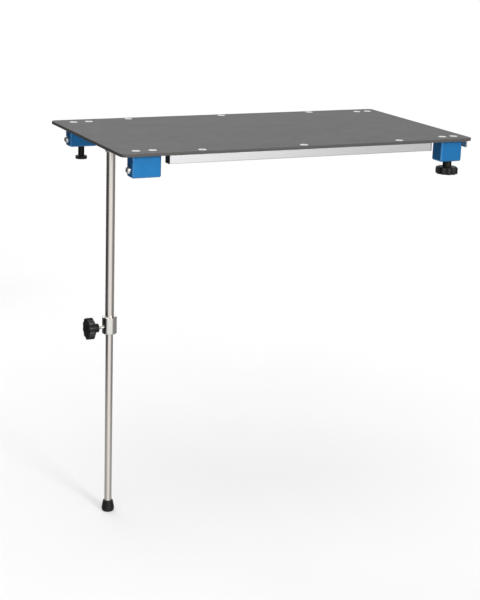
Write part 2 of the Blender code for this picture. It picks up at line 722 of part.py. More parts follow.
def build_leg_clamp(materials):
    """The knob that clamps the leg: its stud in the collar presses a brass pad on the lower tube."""
    place = (CORNER_X, 0, LEG_CLAMP_Z)
    pad_in = LOWER_TUBE / 2 + GAP
    pad_out = pad_in + LEG_PAD_THICKNESS
    knob_at = COLLAR_DIAMETER / 2 + LEG_KNOB_STANDOFF
    pad = cylinder("leg_clamp_pad", LEG_STUD, pad_in, pad_out)
    put(pad, "leg_clamp_pad", materials["brass"], place, ALONG_FREE_END)
    stud = cylinder("leg_clamp_stud", LEG_STUD, pad_out + GAP, knob_at + STUD_IN_GRIP)
    put(stud, "leg_clamp_stud", materials["stainless"], place, ALONG_FREE_END)
    knob = star_knob("leg_clamp_knob", LEG_STUD)
    knob_place = (CORNER_X - knob_at, 0, LEG_CLAMP_Z)
    put(knob, "leg_clamp_knob", materials["black_plastic"], knob_place, ALONG_FREE_END)


def build_lower_leg(materials):
    """The sliding lower tube with the plug in its top and the rubber foot on its end."""
    place = (CORNER_X, 0, 0)
    tube_top = COLLAR_TOP + LEG_INSERTION
    lower = tube("leg_lower_tube", LOWER_TUBE, LOWER_BORE, LOWER_TUBE_BASE, tube_top)
    put(lower, "leg_lower_tube", materials["stainless"], place)

    plug_r = LOWER_BORE / 2 - GAP
    rim_r = LOWER_TUBE / 2
    rim_base = tube_top + GAP
    section = [
        (0, tube_top - PLUG_DEPTH),
        (plug_r, tube_top - PLUG_DEPTH),
        (plug_r, rim_base),
        (rim_r, rim_base),
        (rim_r, rim_base + PLUG_RIM),
        (0, rim_base + PLUG_RIM),
    ]
    put(turned("leg_end_plug", section, SMALL_STEPS), "leg_end_plug", materials["black_plastic"], place)

    washer_base = FOOT_FLOOR + GAP
    washer = cylinder("leg_foot_washer", LOWER_TUBE, washer_base, washer_base + WASHER_THICKNESS)
    put(washer, "leg_foot_washer", materials["stainless"], place)
    put(turned("leg_foot", foot_section(), ROUND_STEPS), "leg_foot", materials["rubber"], place)


def foot_section():
    """Half outline of the rubber foot: rounded tread, widest band, and a ringed taper up to the rim."""
    bore_r = LOWER_TUBE / 2 + GAP
    rim_r = bore_r + FOOT_RIM_WALL
    widest_r = rim_r + FOOT_FLARE
    tread_r = widest_r - FOOT_TREAD_INSET
    section = [(0, 0), (tread_r, 0)]
    for step in range(1, DOME_STEPS + 1):
        angle = pi / 2 * step / DOME_STEPS
        section.append((tread_r + FOOT_TREAD_INSET * sin(angle), FOOT_WIDEST_AT * (1 - cos(angle))))
    taper = FOOT_HEIGHT - FOOT_WIDEST_AT
    for ring in range(1, FOOT_RINGS + 1):
        middle = taper * ring / (FOOT_RINGS + 1)
        for rise, depth in (
            (middle - FOOT_RING_WIDTH / 2, 0),
            (middle, FOOT_RING_DEPTH),
            (middle + FOOT_RING_WIDTH / 2, 0),
        ):
            section.append((widest_r - FOOT_FLARE * rise / taper - depth, FOOT_WIDEST_AT + rise))
    section += [(rim_r, FOOT_HEIGHT), (bore_r, FOOT_HEIGHT), (bore_r, FOOT_FLOOR), (0, FOOT_FLOOR)]
    return section


def main():
    for obj in list(bpy.data.objects):
        bpy.data.objects.remove(obj, do_unlink=True)
    materials = {
        "laminate": finish("dark_laminate", "5a5b5c", 0.5, 0.0),
        "aluminium": finish("natural_aluminium", "d3d4d6", 0.35, 1.0),
        "blue_anodised": finish("blue_anodised_aluminium", "2278ba", 0.38, 0.6),
        "stainless": finish("polished_stainless_steel", "c9c6c2", 0.18, 1.0),
        "black_plastic": finish("black_moulded_plastic", "17171a", 0.42, 0.0),
        "brass": finish("brass", "c2a15a", 0.3, 1.0),
        "rubber": finish("black_rubber", "1c1c1d", 0.75, 0.0),
    }
    build_top(materials)
    build_screws(materials)
    build_stiffeners(materials)
    build_corner_blocks(materials)
    build_rail_blocks(materials)
    build_leg_socket(materials)
    build_upper_leg(materials)
    build_leg_clamp(materials)
    build_lower_leg(materials)


main()
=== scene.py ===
"""Looks of the hand surgery table: finishes, fine edges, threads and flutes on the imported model,
with a plain pale floor, soft light and the photograph's viewing angle. Sizes are in metres.
"""

from math import cos, pi, radians, sin

import bmesh
import bpy
from mathutils import Matrix, Vector


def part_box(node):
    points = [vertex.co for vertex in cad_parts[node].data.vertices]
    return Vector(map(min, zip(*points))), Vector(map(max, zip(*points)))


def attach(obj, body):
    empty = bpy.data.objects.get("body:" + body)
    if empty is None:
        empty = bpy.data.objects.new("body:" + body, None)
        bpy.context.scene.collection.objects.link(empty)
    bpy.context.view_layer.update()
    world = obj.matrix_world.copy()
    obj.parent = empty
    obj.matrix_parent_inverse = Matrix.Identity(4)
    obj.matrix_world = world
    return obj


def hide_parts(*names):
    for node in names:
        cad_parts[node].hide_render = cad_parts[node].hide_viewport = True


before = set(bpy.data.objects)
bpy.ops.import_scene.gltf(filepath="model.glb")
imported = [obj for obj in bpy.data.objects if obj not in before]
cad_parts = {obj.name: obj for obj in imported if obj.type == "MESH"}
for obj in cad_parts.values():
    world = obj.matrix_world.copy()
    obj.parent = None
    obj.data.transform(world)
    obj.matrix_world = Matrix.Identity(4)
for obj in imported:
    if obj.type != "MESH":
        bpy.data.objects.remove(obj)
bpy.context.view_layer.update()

# The photograph's frame, and the camera worked out from the top's edges; its roll is in radians
FRAME_LONG_SIDE = 600
FOCAL_PIXELS = 1470.26
SENSOR = 36.0
CAMERA_PLACE = Vector((-1.2802, -2.5936, 1.2188))
CAMERA_YAW = radians(25.70)
CAMERA_PITCH = radians(15.57)
CAMERA_ROLL = 0.0338

# The studio's lights as their bearing from the camera's aim, the cosines where they start and are
# full, and their strength: one behind the camera, a pale wall on the right, one behind the table
STUDIO_LIGHTS = ((168, 0.40, 0.94, 1.0), (75, 0.50, 0.90, 0.27), (0, 0.87, 0.98, 1.0))
DARK_WALL = 0.06

# The ceiling's light, and the heights of a unit direction at which it starts and is full
CEILING = 0.9
CEILING_SLOPES = (0.55, 0.90)

# The studio's lamps: how wide they are in degrees, their strength, and their tilt and swing in
# degrees from straight overhead. The one in front is low, so the top shades the far blocks
STUDIO_LAMPS = (
    ("overhead_softbox", 75, 0.80, 20, -20),
    ("front_softbox", 14, 1.75, 70, 10),
    ("rear_softbox", 40, 0.7, -55, 10),
)

# The floor: how much it glows of itself, and the paler pool round the foot that metal sees, a
# painted reflection of light
FLOOR_HALF = 40
FLOOR_GLOW = 0.25
POOL_REACH = (0.2, 1.5)
PAINTED_POOL_LIGHT = 0.45

# Edges sharper than this stay sharp; points closer than these are welded; cutters stand out so
# far; and a face of up to so many sides that a cut has dropped is filled in
SMOOTH_ANGLE = radians(35)
WELD = 1e-6
CUT_WELD = 1e-5
CUT_OVER = 0.001
DROPPED_SIDES = 4
EXACT_CUT = {"operation": "DIFFERENCE", "solver": "EXACT"}

# How finely round shapes are divided
TURNING_STEPS = 96
SMALL_STEPS = 48
EASE_STEPS = 5
CORNER_STEPS = 14
THREAD_STEPS = 40
THREAD_SIDES = 6

# Turns that bring local +Z onto a direction of the table
UP = Matrix.Identity(4)
DOWN = Matrix.Rotation(pi, 4, "X")
TO_FREE_END = Matrix.Rotation(-pi / 2, 4, "Y")
TO_RAIL_END = Matrix.Rotation(pi / 2, 4, "Y")


def linear(hex_colour):
    """Linear RGBA of an sRGB hex colour."""
    levels = [int(hex_colour[i : i + 2], 16) / 255 for i in (0, 2, 4)]
    return (*[c / 12.92 if c <= 0.04045 else ((c + 0.055) / 1.055) ** 2.4 for c in levels], 1.0)


def per_mm(gap):
    """Repeats per metre of a pattern whose features are so many millimetres apart."""
    return 1000 / gap


def add(tree, kind, links=None, **settings):
    """One node with its settings. An input is a value, an output, or a node's first output."""
    made = tree.nodes.new(kind)
    for key, value in settings.items():
        setattr(made, key, value)
    for socket, source in (links or {}).items():
        if isinstance(source, bpy.types.Node):
            source = source.outputs[0]
        if isinstance(source, bpy.types.NodeSocket):
            tree.links.new(source, made.inputs[socket])
        else:
            made.inputs[socket].default_value = source
    return made


def new_finish(name):
    """An empty material, its tree, and the place of each point on its piece."""
    made = bpy.data.materials.new(name)
    made.use_nodes = True
    made.node_tree.nodes.clear()
    return made, made.node_tree, add(made.node_tree, "ShaderNodeTexCoord").outputs["Object"]


def shaded(made, tint, roughness, bump=None, **more):
    """The material in a tint, roughness and relief; more names other sockets, with _ for space."""
    look = {"Base Color": tint.outputs[2], "Roughness": roughness}
    if bump:
        look["Normal"] = bump
    look.update((socket.replace("_", " "), source) for socket, source in more.items())
    shader = add(made.node_tree, "ShaderNodeBsdfPrincipled", look)
    add(made.node_tree, "ShaderNodeOutputMaterial", {"Surface": shader})
    return made


def pressed_laminate():
    """High-pressure laminate from a satin press plate: an even grey with a faint paper mottle, a
    fine pebble under raking light, and wiping marks that show only as a change of gloss."""
    made, tree, place = new_finish("high_pressure_laminate_satin")
    mottle = add(tree, "ShaderNodeTexNoise", {"Vector": place, "Scale": per_mm(34), "Detail": 5.0})
    speck = add(tree, "ShaderNodeTexNoise", {"Vector": place, "Scale": per_mm(2.2), "Detail": 2.0})
    drift = add(tree, "ShaderNodeMix", {0: 0.55, 2: mottle, 3: speck})
    greys = {0: drift, 6: linear("424242"), 7: linear("696969")}
    tint = add(tree, "ShaderNodeMix", greys, data_type="RGBA")
    # Wiping marks are smears about 25 mm wide and 120 mm long
    smear = (per_mm(120), per_mm(25), 1.0)
    stretch = add(tree, "ShaderNodeMapping", {"Vector": place, "Scale": smear})
    swirls = {"Vector": stretch, "Scale": 1.0, "Detail": 3.0, "Distortion": 0.8}
    wipe = add(tree, "ShaderNodeTexNoise", swirls)
    gloss = add(tree, "ShaderNodeMapRange", {"Value": wipe, "To Min": 0.62, "To Max": 0.72})
    # The real pebble is about 0.4 mm; it is drawn at 1.1 mm so that it shows
    pebble = add(tree, "ShaderNodeTexNoise", {"Vector": place, "Scale": per_mm(1.1), "Detail": 1.0})
    bump = add(tree, "ShaderNodeBump", {"Height": pebble, "Strength": 0.6, "Distance": 0.0002})
    return shaded(made, tint, gloss, bump, IOR=1.48, Specular_IOR_Level=0.3)


def phenolic_core():
    """The sawn edge of the laminate: dark resin and paper, in layers that show as faint lines."""
    made, tree, place = new_finish("phenolic_core_sawn_edge")
    # Sheets are about 0.2 mm thick; they are drawn at 0.9 mm so that they show
    sheet = (per_mm(60), per_mm(60), per_mm(0.9))
    layers = add(tree, "ShaderNodeMapping", {"Vector": place, "Scale": sheet})
    sheets = add(tree, "ShaderNodeTexNoise", {"Vector": layers, "Scale": 1.0, "Detail": 2.0})
    browns = {0: sheets, 6: linear("3e3d3c"), 7: linear("504e4d")}
    tint = add(tree, "ShaderNodeMix", browns, data_type="RGBA")
    # The saw's teeth leave upright marks about 1.5 mm apart
    tooth = (per_mm(1.5), per_mm(1.5), per_mm(20))
    saw = add(tree, "ShaderNodeMapping", {"Vector": place, "Scale": tooth})
    marks = add(tree, "ShaderNodeTexNoise", {"Vector": saw, "Scale": 1.0, "Detail": 2.0})
    bump = add(tree, "ShaderNodeBump", {"Height": marks, "Strength": 0.3, "Distance": 0.0001})
    return shaded(made, tint, 0.5, bump)


def blue_anodising():
    """Aluminium, bead-blasted and dyed blue in the anodising bath: a deep metal blue with a soft
    sheen, a faint cloud from the dye, a fine blasted grain, and edges painted paler, partly as
    wear from handling and partly as a painted highlight on their roundings."""
    made, tree, place = new_finish("blue_anodised_aluminium_blasted")
    cloud = add(tree, "ShaderNodeTexNoise", {"Vector": place, "Scale": per_mm(18), "Detail": 3.0})
    blues = {0: cloud, 6: linear("116aa4"), 7: linear("1676b6")}
    dye = add(tree, "ShaderNodeMix", blues, data_type="RGBA")
    # This mask paints the edges paler: partly wear from handling, partly a painted highlight
    edge = add(tree, "ShaderNodeAttribute", attribute_name="edge").outputs["Fac"]
    patches = add(tree, "ShaderNodeTexNoise", {"Vector": place, "Scale": per_mm(5), "Detail": 4.0})
    patchy = {"Value": patches, "From Min": 0.3, "From Max": 0.7, "To Max": 0.6}
    wear_and_highlight_patches = add(tree, "ShaderNodeMapRange", patchy)
    worn = add(tree, "ShaderNodeMath", {0: edge, 1: wear_and_highlight_patches}, operation="MULTIPLY")
    worn_and_highlit = {0: worn, 6: dye.outputs[2], 7: linear("8fc0e2")}
    tint = add(tree, "ShaderNodeMix", worn_and_highlit, data_type="RGBA")
    # The blasted grain is about 0.2 mm; it is drawn at 0.7 mm so that it shows
    grit = add(tree, "ShaderNodeTexNoise", {"Vector": place, "Scale": per_mm(0.7), "Detail": 1.0})
    sheen = add(tree, "ShaderNodeMapRange", {"Value": grit, "To Min": 0.38, "To Max": 0.50})
    bump = add(tree, "ShaderNodeBump", {"Height": grit, "Strength": 0.12, "Distance": 0.0001})
    return shaded(made, tint, sheen, bump, Metallic=0.5)


def lined_metal(name, spacing, detail, tints, roughness, relief):
    """A metal with the lines that its making leaves: their spacing in mm along X, Y and Z, the
    tints and roughnesses that they change between, and how strongly they catch the light."""
    made, tree, place = new_finish(name)
    pattern = [per_mm(gap) for gap in spacing]
    along = add(tree, "ShaderNodeMapping", {"Vector": place, "Scale": pattern})
    lines = add(tree, "ShaderNodeTexNoise", {"Vector": along, "Scale": 1.0, "Detail": detail})
    dark, pale = (linear(tint) for tint in tints)
    tint = add(tree, "ShaderNodeMix", {0: lines, 6: dark, 7: pale}, data_type="RGBA")
    smooth, rough = roughness
    sheen = add(tree, "ShaderNodeMapRange", {"Value": lines, "To Min": smooth, "To Max": rough})
    ridges = {"Height": lines, "Strength": relief, "Distance": 0.0001}
    bump = add(tree, "ShaderNodeBump", ridges) if relief else None
    return shaded(made, tint, sheen, bump, Metallic=1.0)


def extruded_aluminium():
    """Natural anodised aluminium as it leaves the die: pale, with fine die lines along the bar.
    They are about 0.2 mm apart, and drawn at 0.8 mm so that they show."""
    return lined_metal(
        "natural_anodised_aluminium_extruded", spacing=(300, 0.8, 0.8), detail=3.0,
        tints=("eaeaec", "f4f4f5"), roughness=(0.26, 0.38), relief=0.08,
    )


def drawn_tube_steel():
    """Stainless tube, drawn and polished: a bright, slightly warm mirror with faint lines along its
    length. They are about 0.1 mm apart, and drawn at 0.9 mm so that they show."""
    return lined_metal(
        "stainless_steel_drawn_polished", spacing=(0.9, 0.9, 180), detail=3.0,
        tints=("dad3cc", "e9e3dd"), roughness=(0.18, 0.30), relief=0,
    )


def turned_steel():
    """Stainless steel off the lathe: bright, with fine rings from the tool and a soft smear in its
    gloss. The rings are about 0.1 mm apart, and drawn at 0.6 mm so that they show."""
    return lined_metal(
        "stainless_steel_turned", spacing=(25, 25, 0.6), detail=2.0,
        tints=("dbd8d3", "ece9e5"), roughness=(0.14, 0.26), relief=0.06,
    )


def brushed_sheet():
    """Stainless sheet, brushed before it was folded: a silky grey with fine lines along the hook.
    They are about 0.1 mm apart, and drawn at 0.5 mm so that they show."""
    return lined_metal(
        "stainless_steel_sheet_brushed", spacing=(40, 0.5, 40), detail=3.0,
        tints=("d8d5d0", "e6e3df"), roughness=(0.24, 0.32), relief=0.03,
    )


def headed_steel():
    """Stainless screws and bolts, cold-headed and tumbled: a soft grey shine, cloudy from the
    tumbling."""
    made, tree, place = new_finish("stainless_steel_headed_tumbled")
    cloud = add(tree, "ShaderNodeTexNoise", {"Vector": place, "Scale": per_mm(3), "Detail": 4.0})
    greys = {0: cloud, 6: linear("d8d6d2"), 7: linear("efedea")}
    tint = add(tree, "ShaderNodeMix", greys, data_type="RGBA")
    sheen = add(tree, "ShaderNodeMapRange", {"Value": cloud, "To Min": 0.26, "To Max": 0.42})
    # The dents from tumbling are about 0.1 mm; they are drawn at 0.5 mm so that they show
    dents = add(tree, "ShaderNodeTexNoise", {"Vector": place, "Scale": per_mm(0.5), "Detail": 1.0})
    bump = add(tree, "ShaderNodeBump", {"Height": dents, "Strength": 0.1, "Distance": 0.0001})
    return shaded(made, tint, sheen, bump, Metallic=1.0)


def moulded_plastic():
    """Black glass-filled nylon from a spark-eroded mould: near black and half matt with a fine even
    grain; on the crests of the grips hands have worn it smoother, and it is painted a little
    greyer there, partly as wear and partly as a painted highlight."""
    made, tree, place = new_finish("black_nylon_moulded")
    # The mould's grain is about 0.2 mm; it is drawn at 0.8 mm so that it shows
    grain = add(tree, "ShaderNodeTexVoronoi", {"Vector": place, "Scale": per_mm(0.8)})
    cloud = add(tree, "ShaderNodeTexNoise", {"Vector": place, "Scale": per_mm(12), "Detail": 3.0})
    blacks = {0: cloud, 6: linear("0b0b0c"), 7: linear("161617")}
    resin = add(tree, "ShaderNodeMix", blacks, data_type="RGBA")
    # The crests are painted greyer: partly wear from hands, partly a painted highlight
    crest_wear_and_highlight = add(tree, "ShaderNodeAttribute", attribute_name="crest_wear_and_highlight").outputs["Fac"]
    worn_and_highlit = add(tree, "ShaderNodeMath", {0: crest_wear_and_highlight, 1: cloud}, operation="MULTIPLY")
    greyed = {0: worn_and_highlit, 6: resin.outputs[2], 7: linear("343435")}
    tint = add(tree, "ShaderNodeMix", greyed, data_type="RGBA")
    matt = add(tree, "ShaderNodeMapRange", {"Value": cloud, "To Min": 0.42, "To Max": 0.54})
    sheen = add(tree, "ShaderNodeMix", {0: worn_and_highlit, 2: matt, 3: 0.26})
    bump = add(tree, "ShaderNodeBump", {"Height": grain, "Strength": 0.15, "Distance": 0.0001})
    return shaded(made, tint, sheen, bump, Specular_IOR_Level=0.25)


def moulded_rubber():
    """Black rubber: matt, with a grey bloom in patches, and scuffs in the lowest 6 mm, where it
    meets the floor."""
    made, tree, place = new_finish("black_rubber_moulded")
    bloom = add(tree, "ShaderNodeTexNoise", {"Vector": place, "Scale": per_mm(7), "Detail": 4.0})
    height = add(tree, "ShaderNodeSeparateXYZ", {"Vector": place}).outputs["Z"]
    fading = {"Value": height, "From Max": 0.006, "To Min": 1.0, "To Max": 0.0}
    scuff = add(tree, "ShaderNodeMapRange", fading)
    worn = add(tree, "ShaderNodeMath", {0: scuff, 1: bloom}, operation="MULTIPLY")
    grey = add(tree, "ShaderNodeMath", {0: worn, 1: bloom}, operation="ADD", use_clamp=True)
    blacks = {0: grey, 6: linear("060606"), 7: linear("171717")}
    tint = add(tree, "ShaderNodeMix", blacks, data_type="RGBA")
    matt = add(tree, "ShaderNodeMapRange", {"Value": bloom, "To Min": 0.40, "To Max": 0.58})
    return shaded(made, tint, matt, Specular_IOR_Level=0.28)


def turned_brass():
    """Brass off the lathe, dulled a little: warm yellow metal with a soft smear."""
    made, tree, place = new_finish("brass_turned")
    dull = add(tree, "ShaderNodeTexNoise", {"Vector": place, "Scale": per_mm(4), "Detail": 3.0})
    yellows = {0: dull, 6: linear("a98544"), 7: linear("cdaa62")}
    tint = add(tree, "ShaderNodeMix", yellows, data_type="RGBA")
    return shaded(made, tint, 0.3, Metallic=1.0)


LAMINATE = pressed_laminate()
CORE = phenolic_core()
BLUE = blue_anodising()
ALUMINIUM = extruded_aluminium()
TUBE_STEEL = drawn_tube_steel()
TURNED_STEEL = turned_steel()
HEADED_STEEL = headed_steel()
BRUSHED_SHEET = brushed_sheet()
PLASTIC = moulded_plastic()
RUBBER = moulded_rubber()
BRASS = turned_brass()


def linked(name, data):
    """A new object in the scene."""
    obj = bpy.data.objects.new(name, data)
    bpy.context.scene.collection.objects.link(obj)
    return obj


def smoothed(mesh):
    """The mesh, smooth between its sharp edges."""
    mesh.shade_smooth()
    mesh.set_sharp_from_angle(angle=SMOOTH_ANGLE)
    return mesh


def moved(mesh, place, turn=UP):
    """The mesh, turned and then moved to its place."""
    mesh.transform(Matrix.Translation(place) @ turn)
    return mesh


def mesh_of(name, bm, material):
    """The finished mesh of a bmesh: welded, facing outwards and smooth between its sharp edges."""
    bmesh.ops.remove_doubles(bm, verts=bm.verts, dist=WELD)
    bmesh.ops.recalc_face_normals(bm, faces=bm.faces)
    mesh = bpy.data.meshes.new(name)
    bm.to_mesh(mesh)
    bm.free()
    mesh.materials.append(material)
    return smoothed(mesh)


def eased(corners):
    """A profile of (radius, height, ease) corners with each corner rounded off by its ease."""
    points = []
    for i, (radius, height, ease) in enumerate(corners):
        here = Vector((radius, height))
        if ease == 0:
            points.append(here)
            continue
        before = Vector(corners[i - 1][:2]) - here
        after = Vector(corners[(i + 1) % len(corners)][:2]) - here
        start = here + before.normalized() * ease
        end = here + after.normalized() * ease
        for step in range(EASE_STEPS + 1):
            t = step / EASE_STEPS
            points.append(start * (1 - t) ** 2 + here * 2 * t * (1 - t) + end * t**2)
    return points


def turned(name, corners, material, steps=TURNING_STEPS):
    """A mesh turned about local Z from a profile that closes on the axis or on itself."""
    bm = bmesh.new()
    points = [bm.verts.new((x, 0, z)) for x, z in eased(corners)]
    edges = [bm.edges.new(pair) for pair in zip(points, points[1:])]
    if corners[0][0] > 0:
        edges.append(bm.edges.new((points[-1], points[0])))
    axis = {"cent": (0, 0, 0), "axis": (0, 0, 1), "angle": 2 * pi}
    bmesh.ops.spin(bm, geom=points + edges, steps=steps, use_merge=True, **axis)
    return mesh_of(name, bm, material)


def bore(name, material, start, end, radius, end_radius=None):
    """A round cutter along local Z, straight or tapered."""
    last = radius if end_radius is None else end_radius
    corners = [(0, start, 0), (radius, start, 0), (last, end, 0), (0, end, 0)]
    return turned(name, corners, material, SMALL_STEPS)


def sharp_box(name, extent, material):
    """A sharp box round the origin."""
    bm = bmesh.new()
    bmesh.ops.create_cube(bm, size=1)
    bmesh.ops.scale(bm, vec=extent, verts=bm.verts)
    return mesh_of(name, bm, material)


def slab(name, extent, corner, ease, material):
    """A plate round local Z = 0 with round corners and eased edges."""
    length, width, thickness = extent
    half = thickness / 2
    arc = (0, pi / 6, pi / 3, pi / 2)
    levels = [(ease * (1 - sin(a)), ease * (1 - cos(a)) - half) for a in arc]
    levels += [(inset, -z) for inset, z in reversed(levels)]
    bm = bmesh.new()
    rings = []
    for inset, z in levels:
        ring = []
        for quarter, (sx, sy) in enumerate(((1, 1), (-1, 1), (-1, -1), (1, -1))):
            for step in range(CORNER_STEPS + 1):
                angle = pi / 2 * (quarter + step / CORNER_STEPS)
                x = sx * (length / 2 - corner) + (corner - inset) * cos(angle)
                y = sy * (width / 2 - corner) + (corner - inset) * sin(angle)
                ring.append(bm.verts.new((x, y, z)))
        rings.append(ring)
    for lower, upper in zip(rings, rings[1:]):
        for i in range(len(lower)):
            j = (i + 1) % len(lower)
            bm.faces.new((lower[i], lower[j], upper[j], upper[i]))
    bm.faces.new(rings[0])
    bm.faces.new(rings[-1])
    return mesh_of(name, bm, material)


def evaluated(mesh, modifiers):
    """A mesh after modifiers, each given as its kind and its settings."""
    carrier = linked("carrier", mesh)
    for kind, settings in modifiers:
        modifier = carrier.modifiers.new(kind, kind)
        for key, value in settings.items():
            if key.startswith("Socket_"):
                modifier[key] = value
            else:
                setattr(modifier, key, value)
    graph = bpy.context.evaluated_depsgraph_get()
    made = bpy.data.meshes.new_from_object(carrier.evaluated_get(graph), depsgraph=graph)
    bpy.data.objects.remove(carrier)
    made.name = mesh.name
    return made


def flats_kept(mesh):
    """A smoothed mesh whose flat faces look flat up to their rounded edges."""
    return evaluated(smoothed(mesh), [("WEIGHTED_NORMAL", {"keep_sharp": True})])


def carved(mesh, cutters):
    """A mesh with others cut out of it; a face that the cut may drop is filled in."""
    held = [linked("cutter", cutter) for cutter in cutters]
    modifiers = [("BOOLEAN", {**EXACT_CUT, "object": obj}) for obj in held]
    made = evaluated(mesh, modifiers)
    for obj in held:
        bpy.data.objects.remove(obj)
    bm = bmesh.new()
    bm.from_mesh(made)
    bmesh.ops.remove_doubles(bm, verts=bm.verts, dist=CUT_WELD)
    bmesh.ops.holes_fill(bm, edges=bm.edges, sides=DROPPED_SIDES)
    bm.to_mesh(made)
    bm.free()
    return flats_kept(made)


def put(mesh, name, place, turn, body, slot, *nodes):
    """A finished piece: its mesh takes its place, and it rides on a body and stands for nodes."""
    obj = linked(name, moved(mesh, place, turn))
    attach(obj, body)
    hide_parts(*nodes)


def refinish(node, finish):
    """A CAD node that keeps its solid takes a finish."""
    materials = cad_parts[node].data.materials
    materials.clear()
    materials.append(finish)


def middle(node):
    """Middle of a CAD node's box."""
    low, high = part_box(node)
    return (low + high) / 2


def size(node):
    """Extent of a CAD node's box."""
    low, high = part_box(node)
    return high - low


def start_of(node, turn):
    """A node's length along a turn, and the end of its box that a piece so turned starts at."""
    low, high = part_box(node)
    x, y, z = middle(node)
    if turn is TO_FREE_END:
        return high.x - low.x, (high.x, y, z)
    return high.z - low.z, (x, y, low.z if turn is UP else high.z)


def new_tree(name, lengths, counts=()):
    """An empty Geometry Nodes tree with a geometry in and out, its named inputs and a finish."""
    tree = bpy.data.node_groups.new(name, "GeometryNodeTree")
    tree.interface.new_socket("Geometry", in_out="OUTPUT", socket_type="NodeSocketGeometry")
    for kind, sockets in (
        ("Geometry", ("Geometry",)),
        ("Float", lengths),
        ("Int", counts),
        ("Material", ("Finish",)),
    ):
        for socket in sockets:
            tree.interface.new_socket(socket, in_out="INPUT", socket_type=f"NodeSocket{kind}")
    return tree, add(tree, "NodeGroupInput").outputs


def close_tree(tree, geometry, finish):
    """Ends a tree with plain meshes in their finish."""
    real = add(tree, "GeometryNodeRealizeInstances", {"Geometry": geometry})
    done = add(tree, "GeometryNodeSetMaterial", {"Geometry": real, "Material": finish})
    add(tree, "NodeGroupOutput", {0: done})


def tree_result(tree, mesh, material, sizes):
    """The mesh that a tree makes of another with these sizes."""
    inputs = [item for item in tree.interface.items_tree if item.in_out == "INPUT"]
    given = {**sizes, "Finish": material}
    settings = {item.identifier: given[item.name] for item in inputs if item.name in given}
    return smoothed(evaluated(mesh, [("NODES", {"node_group": tree, **settings})]))


def screw_tree():
    """Countersunk screws on points: a disc is drawn out into shank, cone and rim, and a hexagon is
    cut into each head. The hexagons stand at odd angles, as they do when the screws are tight."""
    lengths = ("Head", "Shank", "Length", "Rim", "Break", "Hexagon", "Hexagon Depth")
    tree, given = new_tree("countersunk_screws", lengths, ("Seed",))
    half = {
        name: add(tree, "ShaderNodeMath", {0: given[name], 1: 0.5}, operation="MULTIPLY")
        for name in ("Head", "Shank", "Hexagon")
    }
    cone = add(tree, "ShaderNodeMath", {0: half["Head"], 1: half["Shank"]}, operation="SUBTRACT")
    over = add(tree, "ShaderNodeMath", {0: cone, 1: given["Rim"]}, operation="ADD")
    straight = add(tree, "ShaderNodeMath", {0: given["Length"], 1: over}, operation="SUBTRACT")
    lowest = add(tree, "ShaderNodeMath", {0: given["Length"], 1: -1.0}, operation="MULTIPLY")
    low_place = add(tree, "ShaderNodeCombineXYZ", {"Z": lowest})
    ring = {"Vertices": SMALL_STEPS, "Radius": half["Shank"]}
    disc = add(tree, "GeometryNodeMeshCircle", ring, fill_type="NGON")
    tip = add(tree, "GeometryNodeTransform", {"Geometry": disc, "Translation": low_place})
    side = add(tree, "ShaderNodeMath", {0: given["Rim"], 1: given["Break"]}, operation="SUBTRACT")
    flare = add(tree, "ShaderNodeMath", {0: half["Head"], 1: half["Shank"]}, operation="DIVIDE")
    face = add(tree, "ShaderNodeMath", {0: half["Head"], 1: given["Break"]}, operation="SUBTRACT")
    close = add(tree, "ShaderNodeMath", {0: face, 1: half["Head"]}, operation="DIVIDE")
    body, top = tip, None
    for rise, widen in ((straight, None), (cone, flare), (side, None), (given["Break"], close)):
        step = {"Mesh": body, "Offset": (0, 0, 1), "Offset Scale": rise, "Individual": False}
        if top:
            step["Selection"] = top
        body = add(tree, "GeometryNodeExtrudeMesh", step)
        top = body.outputs["Top"]
        if widen:
            spread = {"Geometry": body, "Selection": top, "Scale": widen}
            body = add(tree, "GeometryNodeScaleElements", spread)
    base = add(tree, "GeometryNodeFlipFaces", {"Mesh": tip})
    shell = add(tree, "GeometryNodeJoinGeometry")
    for part in (body, base):
        tree.links.new(part.outputs[0], shell.inputs[0])
    welded = add(tree, "GeometryNodeMergeByDistance", {"Geometry": shell, "Distance": WELD})
    twice = add(tree, "ShaderNodeMath", {0: given["Hexagon Depth"], 1: 2.0}, operation="MULTIPLY")
    key = {"Vertices": 6, "Radius": half["Hexagon"], "Depth": twice}
    hexagon = add(tree, "GeometryNodeMeshCylinder", key)
    bodies = {"Mesh 1": welded, "Mesh 2": hexagon}
    screw = add(tree, "GeometryNodeMeshBoolean", bodies, **EXACT_CUT)
    turn = {"Min": (0, 0, 0), "Max": (0, 0, pi / 3), "Seed": given["Seed"]}
    angle = add(tree, "FunctionNodeRandomValue", turn, data_type="FLOAT_VECTOR")
    set_out = {"Points": given["Geometry"], "Instance": screw, "Rotation": angle}
    close_tree(tree, add(tree, "GeometryNodeInstanceOnPoints", set_out), given["Finish"])
    return tree


